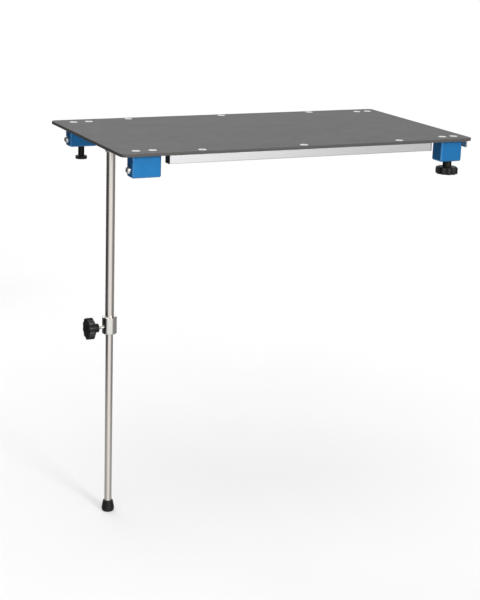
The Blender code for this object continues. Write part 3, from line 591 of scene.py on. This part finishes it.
def thread_tree():
    """A stud's thread: one ridge wound round a plain core from end to end."""
    tree, given = new_tree("stud_thread", ("Diameter", "Depth", "Pitch", "Length"))
    outer = add(tree, "ShaderNodeMath", {0: given["Diameter"], 1: 0.5}, operation="MULTIPLY")
    root = add(tree, "ShaderNodeMath", {0: outer, 1: given["Depth"]}, operation="SUBTRACT")
    wound = add(
        tree, "ShaderNodeMath", {0: given["Length"], 1: given["Pitch"]}, operation="SUBTRACT"
    )
    turns = add(tree, "ShaderNodeMath", {0: wound, 1: given["Pitch"]}, operation="DIVIDE")
    radii = {"Start Radius": root, "End Radius": root}
    winding = {"Resolution": THREAD_STEPS, "Rotations": turns, "Height": wound, **radii}
    helix = add(tree, "GeometryNodeCurveSpiral", winding)
    profile = {"Resolution": THREAD_SIDES, "Radius": given["Depth"]}
    ridge = add(tree, "GeometryNodeCurvePrimitiveCircle", profile)
    sweep = {"Curve": helix, "Profile Curve": ridge, "Fill Caps": True}
    wire = add(tree, "GeometryNodeCurveToMesh", sweep)
    half_pitch = add(tree, "ShaderNodeMath", {0: given["Pitch"], 1: 0.5}, operation="MULTIPLY")
    start = add(tree, "ShaderNodeCombineXYZ", {"Z": half_pitch})
    thread = add(tree, "GeometryNodeTransform", {"Geometry": wire, "Translation": start})
    rod = {"Vertices": SMALL_STEPS, "Radius": root, "Depth": given["Length"]}
    core = add(tree, "GeometryNodeMeshCylinder", rod)
    half_length = add(tree, "ShaderNodeMath", {0: given["Length"], 1: 0.5}, operation="MULTIPLY")
    lift = add(tree, "ShaderNodeCombineXYZ", {"Z": half_length})
    bar = add(tree, "GeometryNodeTransform", {"Geometry": core, "Translation": lift})
    stud = add(tree, "GeometryNodeJoinGeometry")
    for part in (thread, bar):
        tree.links.new(part.outputs[0], stud.inputs[0])
    close_tree(tree, stud, given["Finish"])
    return tree


def flute_tree():
    """Finger hollows in the rim of a turned grip: each point moves towards the axis by a wave round
    it, in full at the rim and not at all inside the core. The crests are marked for wear and for
    a painted highlight."""
    tree, given = new_tree("fluted_rim", ("Hollow", "Core", "Rim"), ("Flutes",))
    place = add(tree, "GeometryNodeInputPosition")
    flat = add(tree, "ShaderNodeVectorMath", {0: place, 1: (1, 1, 0)}, operation="MULTIPLY")
    reach = add(tree, "ShaderNodeVectorMath", {0: flat}, operation="LENGTH").outputs["Value"]
    outwards = add(tree, "ShaderNodeVectorMath", {0: flat}, operation="NORMALIZE")
    along = add(tree, "ShaderNodeSeparateXYZ", {"Vector": place}).outputs
    angle = add(tree, "ShaderNodeMath", {0: along["Y"], 1: along["X"]}, operation="ARCTAN2")
    phase = add(tree, "ShaderNodeMath", {0: angle, 1: given["Flutes"]}, operation="MULTIPLY")
    wave = add(tree, "ShaderNodeMath", {0: phase}, operation="COSINE")
    swing = {"Value": wave, "From Min": -1.0, "From Max": 1.0, "To Min": 1.0, "To Max": 0.0}
    dip = add(tree, "ShaderNodeMapRange", swing)
    band = {"Value": reach, "From Min": given["Core"], "From Max": given["Rim"]}
    share = add(tree, "ShaderNodeMapRange", band, interpolation_type="SMOOTHSTEP")
    depth = add(tree, "ShaderNodeMath", {0: dip, 1: share}, operation="MULTIPLY")
    move = add(tree, "ShaderNodeMath", {0: depth, 1: given["Hollow"]}, operation="MULTIPLY")
    back = add(tree, "ShaderNodeMath", {0: move, 1: -1.0}, operation="MULTIPLY")
    offset = add(tree, "ShaderNodeVectorMath", {0: outwards, "Scale": back}, operation="SCALE")
    hollowed = {"Geometry": given["Geometry"], "Offset": offset}
    fluted_rim = add(tree, "GeometryNodeSetPosition", hollowed)
    crest_wear_and_highlight = add(tree, "ShaderNodeMath", {0: share, 1: depth}, operation="SUBTRACT")
    marks = {"Geometry": fluted_rim, "Name": "crest_wear_and_highlight", "Value": crest_wear_and_highlight}
    close_tree(tree, add(tree, "GeometryNodeStoreNamedAttribute", marks), given["Finish"])
    return tree


SCREWS = screw_tree()
THREAD = thread_tree()
FLUTES = flute_tree()

SIDES = ("near", "far")
BLOCKS = [f"{side}_{end}" for side in SIDES for end in ("corner", "rail")]
BLOCK_SCREWS = [f"{block}_screw_{i}" for block in BLOCKS for i in (1, 2)]
STIFFENER_SCREWS = [f"{side}_stiffener_screw_{i}" for side in SIDES for i in (1, 2, 3)]
SOCKET_SCREWS = [f"leg_socket_screw_{i}" for i in (1, 2, 3)]
TOP_SCREW = {"Shank": 0.008, "Hexagon": 0.0050, "Hexagon Depth": 0.0026}
SOCKET_SCREW = {"Shank": 0.004, "Hexagon": 0.0025, "Hexagon Depth": 0.0014}
SCREW_GAP = 0.0003
SCREW_RIM = 0.0005

# A box's sizes are good to a micrometre, and what follows is rounding
BOX_DIGITS = 6


def points_mesh(name, places):
    """A mesh of loose points."""
    mesh = bpy.data.meshes.new(name)
    mesh.from_pydata([tuple(place) for place in places], [], [])
    return mesh


def screw_heads(nodes, turn=UP):
    """Where the heads of upright or hanging screws lie."""
    end = 1 if turn is UP else 0
    return [Vector((*middle(node)[:2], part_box(node)[end].z)) for node in nodes]


def build_screws():
    """The screws through the top, and the ones that hold the leg's socket from below."""
    for name, nodes, kind, turn, seed in (
        ("block_screws", BLOCK_SCREWS, TOP_SCREW, UP, 3),
        ("stiffener_screws", STIFFENER_SCREWS, TOP_SCREW, UP, 8),
        ("leg_socket_screws", SOCKET_SCREWS, SOCKET_SCREW, DOWN, 5),
    ):
        extent = size(nodes[0])
        rim = {"Rim": SCREW_RIM, "Break": SCREW_RIM / 2}
        sizes = {"Head": extent.x, "Length": extent.z, **kind, **rim, "Seed": seed}
        # Both turns undo themselves, so the points are turned here and turned back by put
        places = [turn @ place for place in screw_heads(nodes, turn)]
        screws = tree_result(SCREWS, points_mesh(name, places), HEADED_STEEL, sizes)
        put(screws, name, (0, 0, 0), turn, "table", "stainless", *nodes)


def countersinks(nodes, kind, depth, material, turn=UP):
    """The holes that countersunk screws sit in."""
    head = round(size(nodes[0]).x, BOX_DIGITS) / 2 + SCREW_GAP
    shank = kind["Shank"] / 2 + SCREW_GAP
    cone = SCREW_RIM + head - shank
    corners = [
        (0, -depth, 0),
        (shank, -depth, 0),
        (shank, -cone, 0),
        (head, -SCREW_RIM, 0),
        (head, SCREW_RIM, 0),
        (0, SCREW_RIM, 0),
    ]
    places = screw_heads(nodes, turn)
    return [moved(turned("countersink", corners, material, SMALL_STEPS), at, turn) for at in places]


TOP_CORNER = 0.010
TOP_EASE = 0.0007

# A face whose normal has more than this share upright is pressed, and the others are cut
PRESSED_FACE = 0.9


def build_top():
    """The laminate top with its countersunk holes; sawn and drilled faces show the dark core."""
    extent = size("table_top")
    blank = slab("laminate_top", extent, TOP_CORNER, TOP_EASE, LAMINATE)
    blank.materials.append(CORE)
    holes = countersinks(BLOCK_SCREWS + STIFFENER_SCREWS, TOP_SCREW, 2 * extent.z, CORE)
    top = carved(moved(blank, middle("table_top")), holes)
    for face in top.polygons:
        face.material_index = 0 if abs(face.normal.z) > PRESSED_FACE else 1
    put(top, "laminate_top", (0, 0, 0), UP, "table", "laminate", "table_top")


CAP_CORNER = 0.0012
CAP_EASE = 0.0005


def build_stiffeners():
    """The aluminium bars keep their solids; the plugs in their ends get eased edges."""
    for side in SIDES:
        bar = f"{side}_stiffener"
        refinish(bar, ALUMINIUM)
        bar_low, bar_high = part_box(bar)
        for end, turn in (("free", TO_FREE_END), ("rail", TO_RAIL_END)):
            node = f"{bar}_{end}_cap"
            low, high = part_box(node)
            plate = high.x - bar_high.x if end == "rail" else bar_low.x - low.x
            x = high.x - plate / 2 if end == "rail" else low.x + plate / 2
            face = (high.z - low.z, high.y - low.y, plate)
            cap = slab(node, face, CAP_CORNER, CAP_EASE, PLASTIC)
            place = (x, middle(node).y, middle(node).z)
            put(cap, f"{bar}_{end}_plug", place, turn, "table", "black_plastic", node)


BLOCK_ROUND = 0.0035
BLOCK_ROUND_STEPS = 8
HOLE_RADIUS = 0.0043
HOLE_CHAMFER = 0.0004
HOLE_DEPTH = 0.021
STUD_BORE_DEPTH = 0.030
HOOK_SLOT_WIDTH = 0.0186
HOOK_SLOT_DEPTH = 0.0033


def rounded_block(name, extent):
    """A block round its middle with every edge rounded."""
    blank = sharp_box(name, extent, BLUE)
    return evaluated(blank, [("BEVEL", {"width": BLOCK_ROUND, "segments": BLOCK_ROUND_STEPS})])


def mark_edges_for_wear_and_highlight(mesh, extent):
    """Writes how close each point of a block lies to its edges: 1 on an edge, 0 a rounding away."""
    # The blue finish paints the edges paler by this: partly wear, partly a painted highlight
    closeness = mesh.attributes.new("edge", "FLOAT", "POINT")
    for point, mark in zip(mesh.vertices, closeness.data):
        depths = sorted(half - abs(place) for half, place in zip(extent / 2, point.co))
        mark.value = max(0.0, 1 - depths[1] / BLOCK_ROUND)


def corner_cutters(extent):
    """The tapped hole in the underside of a free-end block, and its chamfered mouth."""
    mouth = HOLE_RADIUS + HOLE_CHAMFER
    wide, narrow = mouth + CUT_OVER, mouth - CUT_OVER
    cutters = [
        bore("tapped_hole", BLUE, 0, HOLE_DEPTH, HOLE_RADIUS),
        bore("hole_mouth", BLUE, -CUT_OVER, CUT_OVER, wide, narrow),
    ]
    return [moved(cutter, (0, 0, -extent.z / 2)) for cutter in cutters]


def rail_cutters(extent, stud_x):
    """The slot for the hook in the top of a rail block, and the bore for its stud."""
    slot = sharp_box("hook_slot", (2 * extent.x, HOOK_SLOT_WIDTH, 2 * HOOK_SLOT_DEPTH), BLUE)
    hole = bore("stud_bore", BLUE, -CUT_OVER, STUD_BORE_DEPTH, HOLE_RADIUS)
    return [moved(slot, (0, 0, extent.z / 2)), moved(hole, (stud_x, 0, -extent.z / 2))]


def build_blocks():
    """The blue blocks: a tapped hole below at the free end, the hook's slot at the rail end."""
    for block in BLOCKS:
        node = f"{block}_block"
        extent, centre = size(node), middle(node)
        if block.endswith("corner"):
            cutters = corner_cutters(extent)
        else:
            cutters = rail_cutters(extent, middle(f"{block}_stud").x - centre.x)
        mesh = carved(rounded_block(node, extent), cutters)
        mark_edges_for_wear_and_highlight(mesh, extent)
        put(mesh, f"{node}_anodised", centre, UP, "table", "blue_anodised", node)


BOLT_GAP = 0.0003
BOLT_SHANK = 0.004
BOLT_RIM = 0.0016
DOME_STEPS = 12


def build_end_bolts():
    """The domed bolts in the outer faces of the free-end blocks."""
    for side in SIDES:
        node = f"{side}_end_bolt"
        low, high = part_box(node)
        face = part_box(f"{side}_corner_block")[0].x - BOLT_GAP
        head = face - low.x
        tip = face - high.x
        radius = size(node).z / 2
        corners = [(0, tip, 0), (BOLT_SHANK, tip, 0.0006), (BOLT_SHANK, 0, 0), (radius, 0, 0.0003)]
        for step in range(DOME_STEPS):
            angle = pi / 2 * step / DOME_STEPS
            rise = BOLT_RIM + (head - BOLT_RIM) * sin(angle)
            corners.append((radius * cos(angle), rise, 0))
        corners.append((0, head, 0))
        bolt = turned(node, corners, HEADED_STEEL)
        place = (face, middle(node).y, middle(node).z)
        put(bolt, f"{node}_domed", place, TO_FREE_END, "table", "stainless", node)


STUD_GAP = 0.0003
LEG_STUD = 0.006
RAIL_STUD = 0.008
LEG_PITCH = 0.00100
RAIL_PITCH = 0.00125
GRIP_BORE_DEPTH = 0.0143
STEPS_PER_FLUTE = 24
KNOB_WAVE = {"Flutes": 10, "Hollow": 0.0022, "Core": 0.0165, "Rim": 0.0210}
THUMB_WAVE = {"Flutes": 12, "Hollow": 0.0009, "Core": 0.0090, "Rim": 0.0110}


def stud_bore(stud):
    """The corners of the bore in a grip, from its end to its mouth."""
    radius = stud / 2 + STUD_GAP
    return [(0, GRIP_BORE_DEPTH, 0), (radius, GRIP_BORE_DEPTH, 0), (radius, 0, 0.0003)]


def knob_corners(length, stud):
    """A knob before its flutes: bored hub, tapered back, rim, and a low crown in a ring groove."""
    hub, back, rim, crown = 0.00875, 0.0195, 0.0220, 0.0070
    hub_end, rim_start, front = 0.0105, 0.0123, 0.0245
    groove_out, groove_in, slope = 0.0132, 0.0120, 0.0002
    groove_bed, groove_lip, crown_foot = front - 0.0002, front + 0.0004, front + 0.0006
    return stud_bore(stud) + [
        (hub, 0, 0.0008),
        (hub, hub_end, 0.0015),
        (back, hub_end, 0.0012),
        (rim, rim_start, 0.0014),
        (rim, front, 0.0018),
        (groove_out + slope, groove_lip, 0.0006),
        (groove_out - slope, groove_bed, 0.0002),
        (groove_in + slope, groove_bed, 0.0002),
        (groove_in - slope, crown_foot, 0.0004),
        (crown, length, 0.0020),
        (0, length, 0),
    ]


def thumb_corners(length, stud):
    """The thumbscrew's head before its flutes: bored neck, and a flat head with a dished face."""
    neck, head, dish_rim, dish = 0.0062, 0.0118, 0.0090, 0.0086
    head_back = length - 0.0063
    dish_bed = length - 0.0006
    return stud_bore(stud) + [
        (neck, 0, 0.0006),
        (neck, head_back, 0.0008),
        (head, head_back, 0.0010),
        (head, length, 0.0010),
        (dish_rim, length, 0.0004),
        (dish, dish_bed, 0.0004),
        (0, dish_bed, 0),
    ]


def build_knobs():
    """The fluted knobs of the leg clamp and the rail clamps, and the thumbscrew's smaller head."""
    for node, body, turn, outline, stud, wave in (
        ("leg_clamp_knob", "leg_clamp_knob", TO_FREE_END, knob_corners, LEG_STUD, KNOB_WAVE),
        ("near_rail_knob", "near_rail_knob", DOWN, knob_corners, RAIL_STUD, KNOB_WAVE),
        ("far_rail_knob", "far_rail_knob", DOWN, knob_corners, RAIL_STUD, KNOB_WAVE),
        ("far_thumbscrew", "thumbscrew", DOWN, thumb_corners, RAIL_STUD, THUMB_WAVE),
    ):
        length, place = start_of(node, turn)
        steps = STEPS_PER_FLUTE * wave["Flutes"]
        blank = turned(node, outline(length, stud), PLASTIC, steps)
        grip = tree_result(FLUTES, blank, PLASTIC, wave)
        put(grip, f"{node}_fluted", place, turn, body, "black_plastic", node)


def build_studs():
    """The threaded studs of the clamps and the thumbscrew."""
    for node, body, turn, pitch in (
        ("leg_clamp_stud", "leg_clamp_knob", TO_FREE_END, LEG_PITCH),
        ("near_rail_stud", "near_rail_knob", UP, RAIL_PITCH),
        ("far_rail_stud", "far_rail_knob", UP, RAIL_PITCH),
        ("far_thumbscrew_stud", "thumbscrew", UP, RAIL_PITCH),
    ):
        length, place = start_of(node, turn)
        diameter = size(node).x if turn is UP else size(node).z
        sizes = {"Diameter": diameter, "Depth": pitch / 2, "Pitch": pitch, "Length": length}
        stud = tree_result(THREAD, points_mesh(node, [(0, 0, 0)]), TURNED_STEEL, sizes)
        put(stud, f"{node}_threaded", place, turn, body, "stainless", node)


HOOK_EASE = 0.0004
HOOK_EASE_STEPS = 2
HOOK_RIM_ANGLE = radians(60)
HOOK_FLAT_ANGLE = radians(1)


def build_hooks():
    """A copy of each hook's solid, with smooth bends and eased rims, stands for it."""
    rims = {"segments": HOOK_EASE_STEPS, "limit_method": "ANGLE", "angle_limit": HOOK_RIM_ANGLE}
    for side in SIDES:
        node = f"{side}_rail_hook"
        bm = bmesh.new()
        bm.from_mesh(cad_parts[node].data)
        bmesh.ops.remove_doubles(bm, verts=bm.verts, dist=WELD)
        bmesh.ops.dissolve_limit(bm, angle_limit=HOOK_FLAT_ANGLE, verts=bm.verts, edges=bm.edges)
        hook = mesh_of(node, bm, BRUSHED_SHEET)
        hook = evaluated(hook, [("BEVEL", {"width": HOOK_EASE, **rims})])
        put(flats_kept(hook), f"{node}_formed", (0, 0, 0), UP, node, "stainless", node)


LEG_X, LEG_Y = middle("leg_socket")[:2]
TUBE_GAP = 0.0003
TUBE_WALL = 0.0011
UPPER_BORE = size("leg_upper_tube").x / 2 + TUBE_GAP
FLANGE_THICKNESS = 0.005
BOSS_WALL = 0.0042
MOUTH_WALL = 0.0010
MOUTH_TAPER = 0.0065
SOCKET_HOLE_DEPTH = 0.012


def build_socket():
    """The flanged socket that holds the leg under the top, tapered to a thin mouth."""
    low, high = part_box("leg_socket")
    flange = size("leg_socket").x / 2
    flange_base = high.z - FLANGE_THICKNESS
    boss = UPPER_BORE + BOSS_WALL
    corners = [
        (0, flange_base, 0),
        (UPPER_BORE, flange_base, 0),
        (UPPER_BORE, low.z, 0.0004),
        (UPPER_BORE + MOUTH_WALL, low.z, 0.0004),
        (boss, low.z + MOUTH_TAPER, 0.0010),
        (boss, flange_base, 0.0012),
        (flange, flange_base, 0.0010),
        (flange, high.z, 0.0003),
        (0, high.z, 0),
    ]
    blank = moved(turned("leg_socket", corners, TURNED_STEEL), (LEG_X, LEG_Y, 0))
    holes = countersinks(SOCKET_SCREWS, SOCKET_SCREW, SOCKET_HOLE_DEPTH, TURNED_STEEL, DOWN)
    socket = carved(blank, holes)
    put(socket, "leg_socket_turned", (0, 0, 0), UP, "table", "stainless", "leg_socket")


def build_tubes():
    """The upper tube of the leg, and the lower one that slides in it."""
    for node, body in (("leg_upper_tube", "table"), ("leg_lower_tube", "lower_leg")):
        low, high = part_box(node)
        outer = size(node).x / 2
        inner = outer - TUBE_WALL
        corners = [
            (inner, low.z, 0.0002),
            (outer, low.z, 0.0004),
            (outer, high.z, 0.0004),
            (inner, high.z, 0.0002),
        ]
        tube = turned(node, corners, TUBE_STEEL)
        put(tube, f"{node}_drawn", (LEG_X, LEG_Y, 0), UP, body, "stainless", node)


COLLAR_CHAMFER = 0.0014
LOWER_GAP = 0.0002
CLAMP_HOLE = 0.0033
CLAMP_HOLE_REACH = (0.005, 0.028)


def build_collar():
    """The collar at the lower end of the upper tube, with the hole for the clamp's stud."""
    low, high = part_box("leg_collar")
    outer = size("leg_collar").x / 2
    narrow = outer - COLLAR_CHAMFER
    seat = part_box("leg_upper_tube")[0].z - TUBE_GAP
    lower_bore = size("leg_lower_tube").x / 2 + LOWER_GAP
    corners = [
        (lower_bore, low.z, 0.0003),
        (narrow, low.z, 0.0004),
        (outer, low.z + COLLAR_CHAMFER, 0.0004),
        (outer, high.z - COLLAR_CHAMFER, 0.0004),
        (narrow, high.z, 0.0004),
        (UPPER_BORE, high.z, 0.0003),
        (UPPER_BORE, seat, 0),
        (lower_bore, seat, 0),
    ]
    blank = turned("leg_collar", corners, TURNED_STEEL)
    hole = bore("stud_hole", TURNED_STEEL, *CLAMP_HOLE_REACH, CLAMP_HOLE)
    collar = carved(blank, [moved(hole, (0, 0, middle("leg_clamp_stud").z), TO_FREE_END)])
    put(collar, "leg_collar_turned", (LEG_X, LEG_Y, 0), UP, "table", "stainless", "leg_collar")


FOOT_RIM_WALL = 0.0024
FOOT_FLOOR = 0.0045
FOOT_WIDEST_AT = 0.0075
FOOT_TUCK = 0.0022
FOOT_TUCK_STEPS = 8
FOOT_RINGS = (1, 2, 3)
FOOT_GROOVE = 0.0007


def build_foot():
    """The rubber foot: tucked in at the floor, tapering to its rim, with three grooves round it."""
    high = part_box("leg_foot")[1]
    widest = size("leg_foot").x / 2
    inner = size("leg_lower_tube").x / 2 + TUBE_GAP
    rim = inner + FOOT_RIM_WALL
    sole = widest - FOOT_TUCK
    corners = [(0, 0, 0), (sole, 0, 0.0006)]
    for step in range(1, FOOT_TUCK_STEPS + 1):
        angle = pi / 2 * step / FOOT_TUCK_STEPS
        corners.append((sole + FOOT_TUCK * sin(angle), FOOT_WIDEST_AT * (1 - cos(angle)), 0))
    taper = high.z - FOOT_WIDEST_AT
    groove = (-FOOT_GROOVE, 0, 0.0002), (0, FOOT_GROOVE, 0.0003), (FOOT_GROOVE, 0, 0.0002)
    for ring in FOOT_RINGS:
        for rise, depth, ease in groove:
            height = taper * ring / (len(FOOT_RINGS) + 1) + rise
            radius = widest - (widest - rim) * height / taper - depth
            corners.append((radius, FOOT_WIDEST_AT + height, ease))
    corners += [(rim, high.z, 0.0007), (inner, high.z, 0.0004)]
    corners += [(inner, FOOT_FLOOR, 0), (0, FOOT_FLOOR, 0)]
    foot = turned("leg_foot", corners, RUBBER)
    put(foot, "leg_foot_moulded", (LEG_X, LEG_Y, 0), UP, "lower_leg", "rubber", "leg_foot")


def finish_inner_pieces():
    """Pads, plug and washer sit inside other pieces and keep their solids."""
    for node in ("leg_clamp_pad", "near_rail_pad", "far_rail_pad", "far_thumbscrew_pad"):
        refinish(node, BRASS)
    refinish("leg_end_plug", PLASTIC)
    refinish("leg_foot_washer", TURNED_STEEL)


def build_camera():
    """The photograph's camera."""
    forward = Vector((sin(CAMERA_YAW), cos(CAMERA_YAW), 0))
    across = Vector((cos(CAMERA_YAW), -sin(CAMERA_YAW), 0))
    up = Vector((0, 0, 1))
    ahead = forward * cos(CAMERA_PITCH) - up * sin(CAMERA_PITCH)
    over = up * cos(CAMERA_PITCH) + forward * sin(CAMERA_PITCH)
    right = across * cos(CAMERA_ROLL) + over * sin(CAMERA_ROLL)
    top = over * cos(CAMERA_ROLL) - across * sin(CAMERA_ROLL)
    data = bpy.data.cameras.new("camera")
    data.sensor_width = SENSOR
    data.lens = FOCAL_PIXELS / FRAME_LONG_SIDE * SENSOR
    camera = linked("camera", data)
    turn = Matrix((right, top, -ahead)).transposed().to_4x4()
    camera.matrix_world = Matrix.Translation(CAMERA_PLACE) @ turn
    bpy.context.scene.camera = camera


def room_light(tree, way):
    """How bright the studio is in a direction; its dark side walls draw the tubes' dark edges."""
    level = add(tree, "ShaderNodeVectorMath", {0: way, 1: (1, 1, 0)}, operation="MULTIPLY")
    bearing = add(tree, "ShaderNodeVectorMath", {0: level}, operation="NORMALIZE")
    bright = DARK_WALL
    for degrees, edge, full, strength in STUDIO_LIGHTS:
        heading = CAMERA_YAW + radians(degrees)
        aim = (sin(heading), cos(heading), 0)
        facing = add(tree, "ShaderNodeVectorMath", {0: bearing, 1: aim}, operation="DOT_PRODUCT")
        fade = {"From Min": edge, "From Max": full, "To Max": strength}
        cone = {"Value": facing.outputs["Value"], **fade}
        light = add(tree, "ShaderNodeMapRange", cone, interpolation_type="SMOOTHSTEP")
        bright = add(tree, "ShaderNodeMath", {0: light, 1: bright}, operation="MAXIMUM")
    return bright


def build_room():
    """The studio's walls and ceiling, which metal and matt faces see; to the eye it is white."""
    world = bpy.data.worlds.new("studio")
    bpy.context.scene.world = world
    world.use_nodes = True
    tree = world.node_tree
    tree.nodes.clear()
    way = add(tree, "ShaderNodeTexCoord").outputs["Generated"]
    slope = add(tree, "ShaderNodeSeparateXYZ", {"Vector": way}).outputs["Z"]
    start, full = CEILING_SLOPES
    fade = {"From Min": start, "From Max": full, "To Min": DARK_WALL, "To Max": CEILING}
    overhead = {"Value": slope, **fade}
    ceiling = add(tree, "ShaderNodeMapRange", overhead, interpolation_type="SMOOTHSTEP")
    walls = room_light(tree, way)
    room = add(tree, "ShaderNodeMath", {0: walls, 1: ceiling}, operation="MAXIMUM")
    ray = add(tree, "ShaderNodeLightPath").outputs
    rays = {0: ray["Is Camera Ray"], 1: ray["Is Transmission Ray"]}
    direct = add(tree, "ShaderNodeMath", rays, operation="MAXIMUM")
    seen = add(tree, "ShaderNodeMix", {0: direct, 2: room, 3: 1.0})
    light = add(tree, "ShaderNodeBackground", {"Color": linear("ffffff"), "Strength": seen})
    add(tree, "ShaderNodeOutputWorld", {"Surface": light})


def build_lamps():
    """Three soft lamps: overhead, low in front, and a weak one behind."""
    for name, spread, energy, tilt, swing in STUDIO_LAMPS:
        data = bpy.data.lights.new(name, "SUN")
        data.angle = radians(spread)
        data.energy = energy
        linked(name, data).rotation_euler = (radians(tilt), 0, radians(swing))


def paper_floor():
    """White background paper: matt, very faintly clouded, and lifted towards white for the eye.
    For metal a reflection of the room is painted on it: painted dark beside the leg, and paler
    close to its foot, where a pool of light is painted."""
    made, tree, place = new_finish("white_paper_floor")
    fleck = add(tree, "ShaderNodeTexNoise", {"Vector": place, "Scale": per_mm(400), "Detail": 2.0})
    whites = {0: fleck, 6: linear("cccccc"), 7: linear("d2d2d2")}
    tint = add(tree, "ShaderNodeMix", whites, data_type="RGBA")
    foot = (LEG_X, LEG_Y, 0)
    around = add(tree, "ShaderNodeVectorMath", {0: place, 1: foot}, operation="SUBTRACT")
    away = add(tree, "ShaderNodeVectorMath", {0: around}, operation="LENGTH").outputs["Value"]
    near, far = POOL_REACH
    pool = {"Value": away, "From Min": near, "From Max": far, "To Min": PAINTED_POOL_LIGHT, "To Max": 0.0}
    close = add(tree, "ShaderNodeMapRange", pool, interpolation_type="SMOOTHSTEP")
    # For glossy rays the floor is painted with the room's light and dark: a painted reflection,
    # with a painted pool of light round the foot
    walls = room_light(tree, around)
    painted_reflection = add(tree, "ShaderNodeMath", {0: walls, 1: close}, operation="MAXIMUM")
    ray = add(tree, "ShaderNodeLightPath").outputs
    painted_reflection_level = add(tree, "ShaderNodeMix", {0: ray["Is Glossy Ray"], 2: 1.0, 3: painted_reflection})
    # Where that painted reflection is dark, the floor is painted near black, and its glow follows
    # it too
    paper_and_painted_dark = {0: painted_reflection_level, 6: linear("101010"), 7: tint.outputs[2]}
    paper_and_painted_reflection = add(tree, "ShaderNodeMix", paper_and_painted_dark, data_type="RGBA")
    shown = ray["Is Camera Ray"]
    for kind in ("Is Glossy Ray", "Is Transmission Ray"):
        shown = add(tree, "ShaderNodeMath", {0: shown, 1: ray[kind]}, operation="MAXIMUM")
    glow = add(tree, "ShaderNodeMath", {0: shown, 1: painted_reflection_level}, operation="MULTIPLY")
    lift = add(tree, "ShaderNodeMath", {0: glow, 1: FLOOR_GLOW}, operation="MULTIPLY")
    glowing = {"Emission_Color": linear("ffffff"), "Emission_Strength": lift}
    return shaded(made, paper_and_painted_reflection, 0.9, Specular_IOR_Level=0.0, **glowing)


def build_studio():
    """The room, its lamps and its floor, shown as they are."""
    build_room()
    build_lamps()
    bm = bmesh.new()
    bmesh.ops.create_grid(bm, x_segments=1, y_segments=1, size=FLOOR_HALF)
    linked("floor", mesh_of("floor", bm, paper_floor()))
    bpy.context.scene.view_settings.view_transform = "Standard"


build_top()
build_screws()
build_stiffeners()
build_blocks()
build_end_bolts()
build_knobs()
build_studs()
build_hooks()
build_socket()
build_tubes()
build_collar()
build_foot()
finish_inner_pieces()
build_camera()
build_studio()
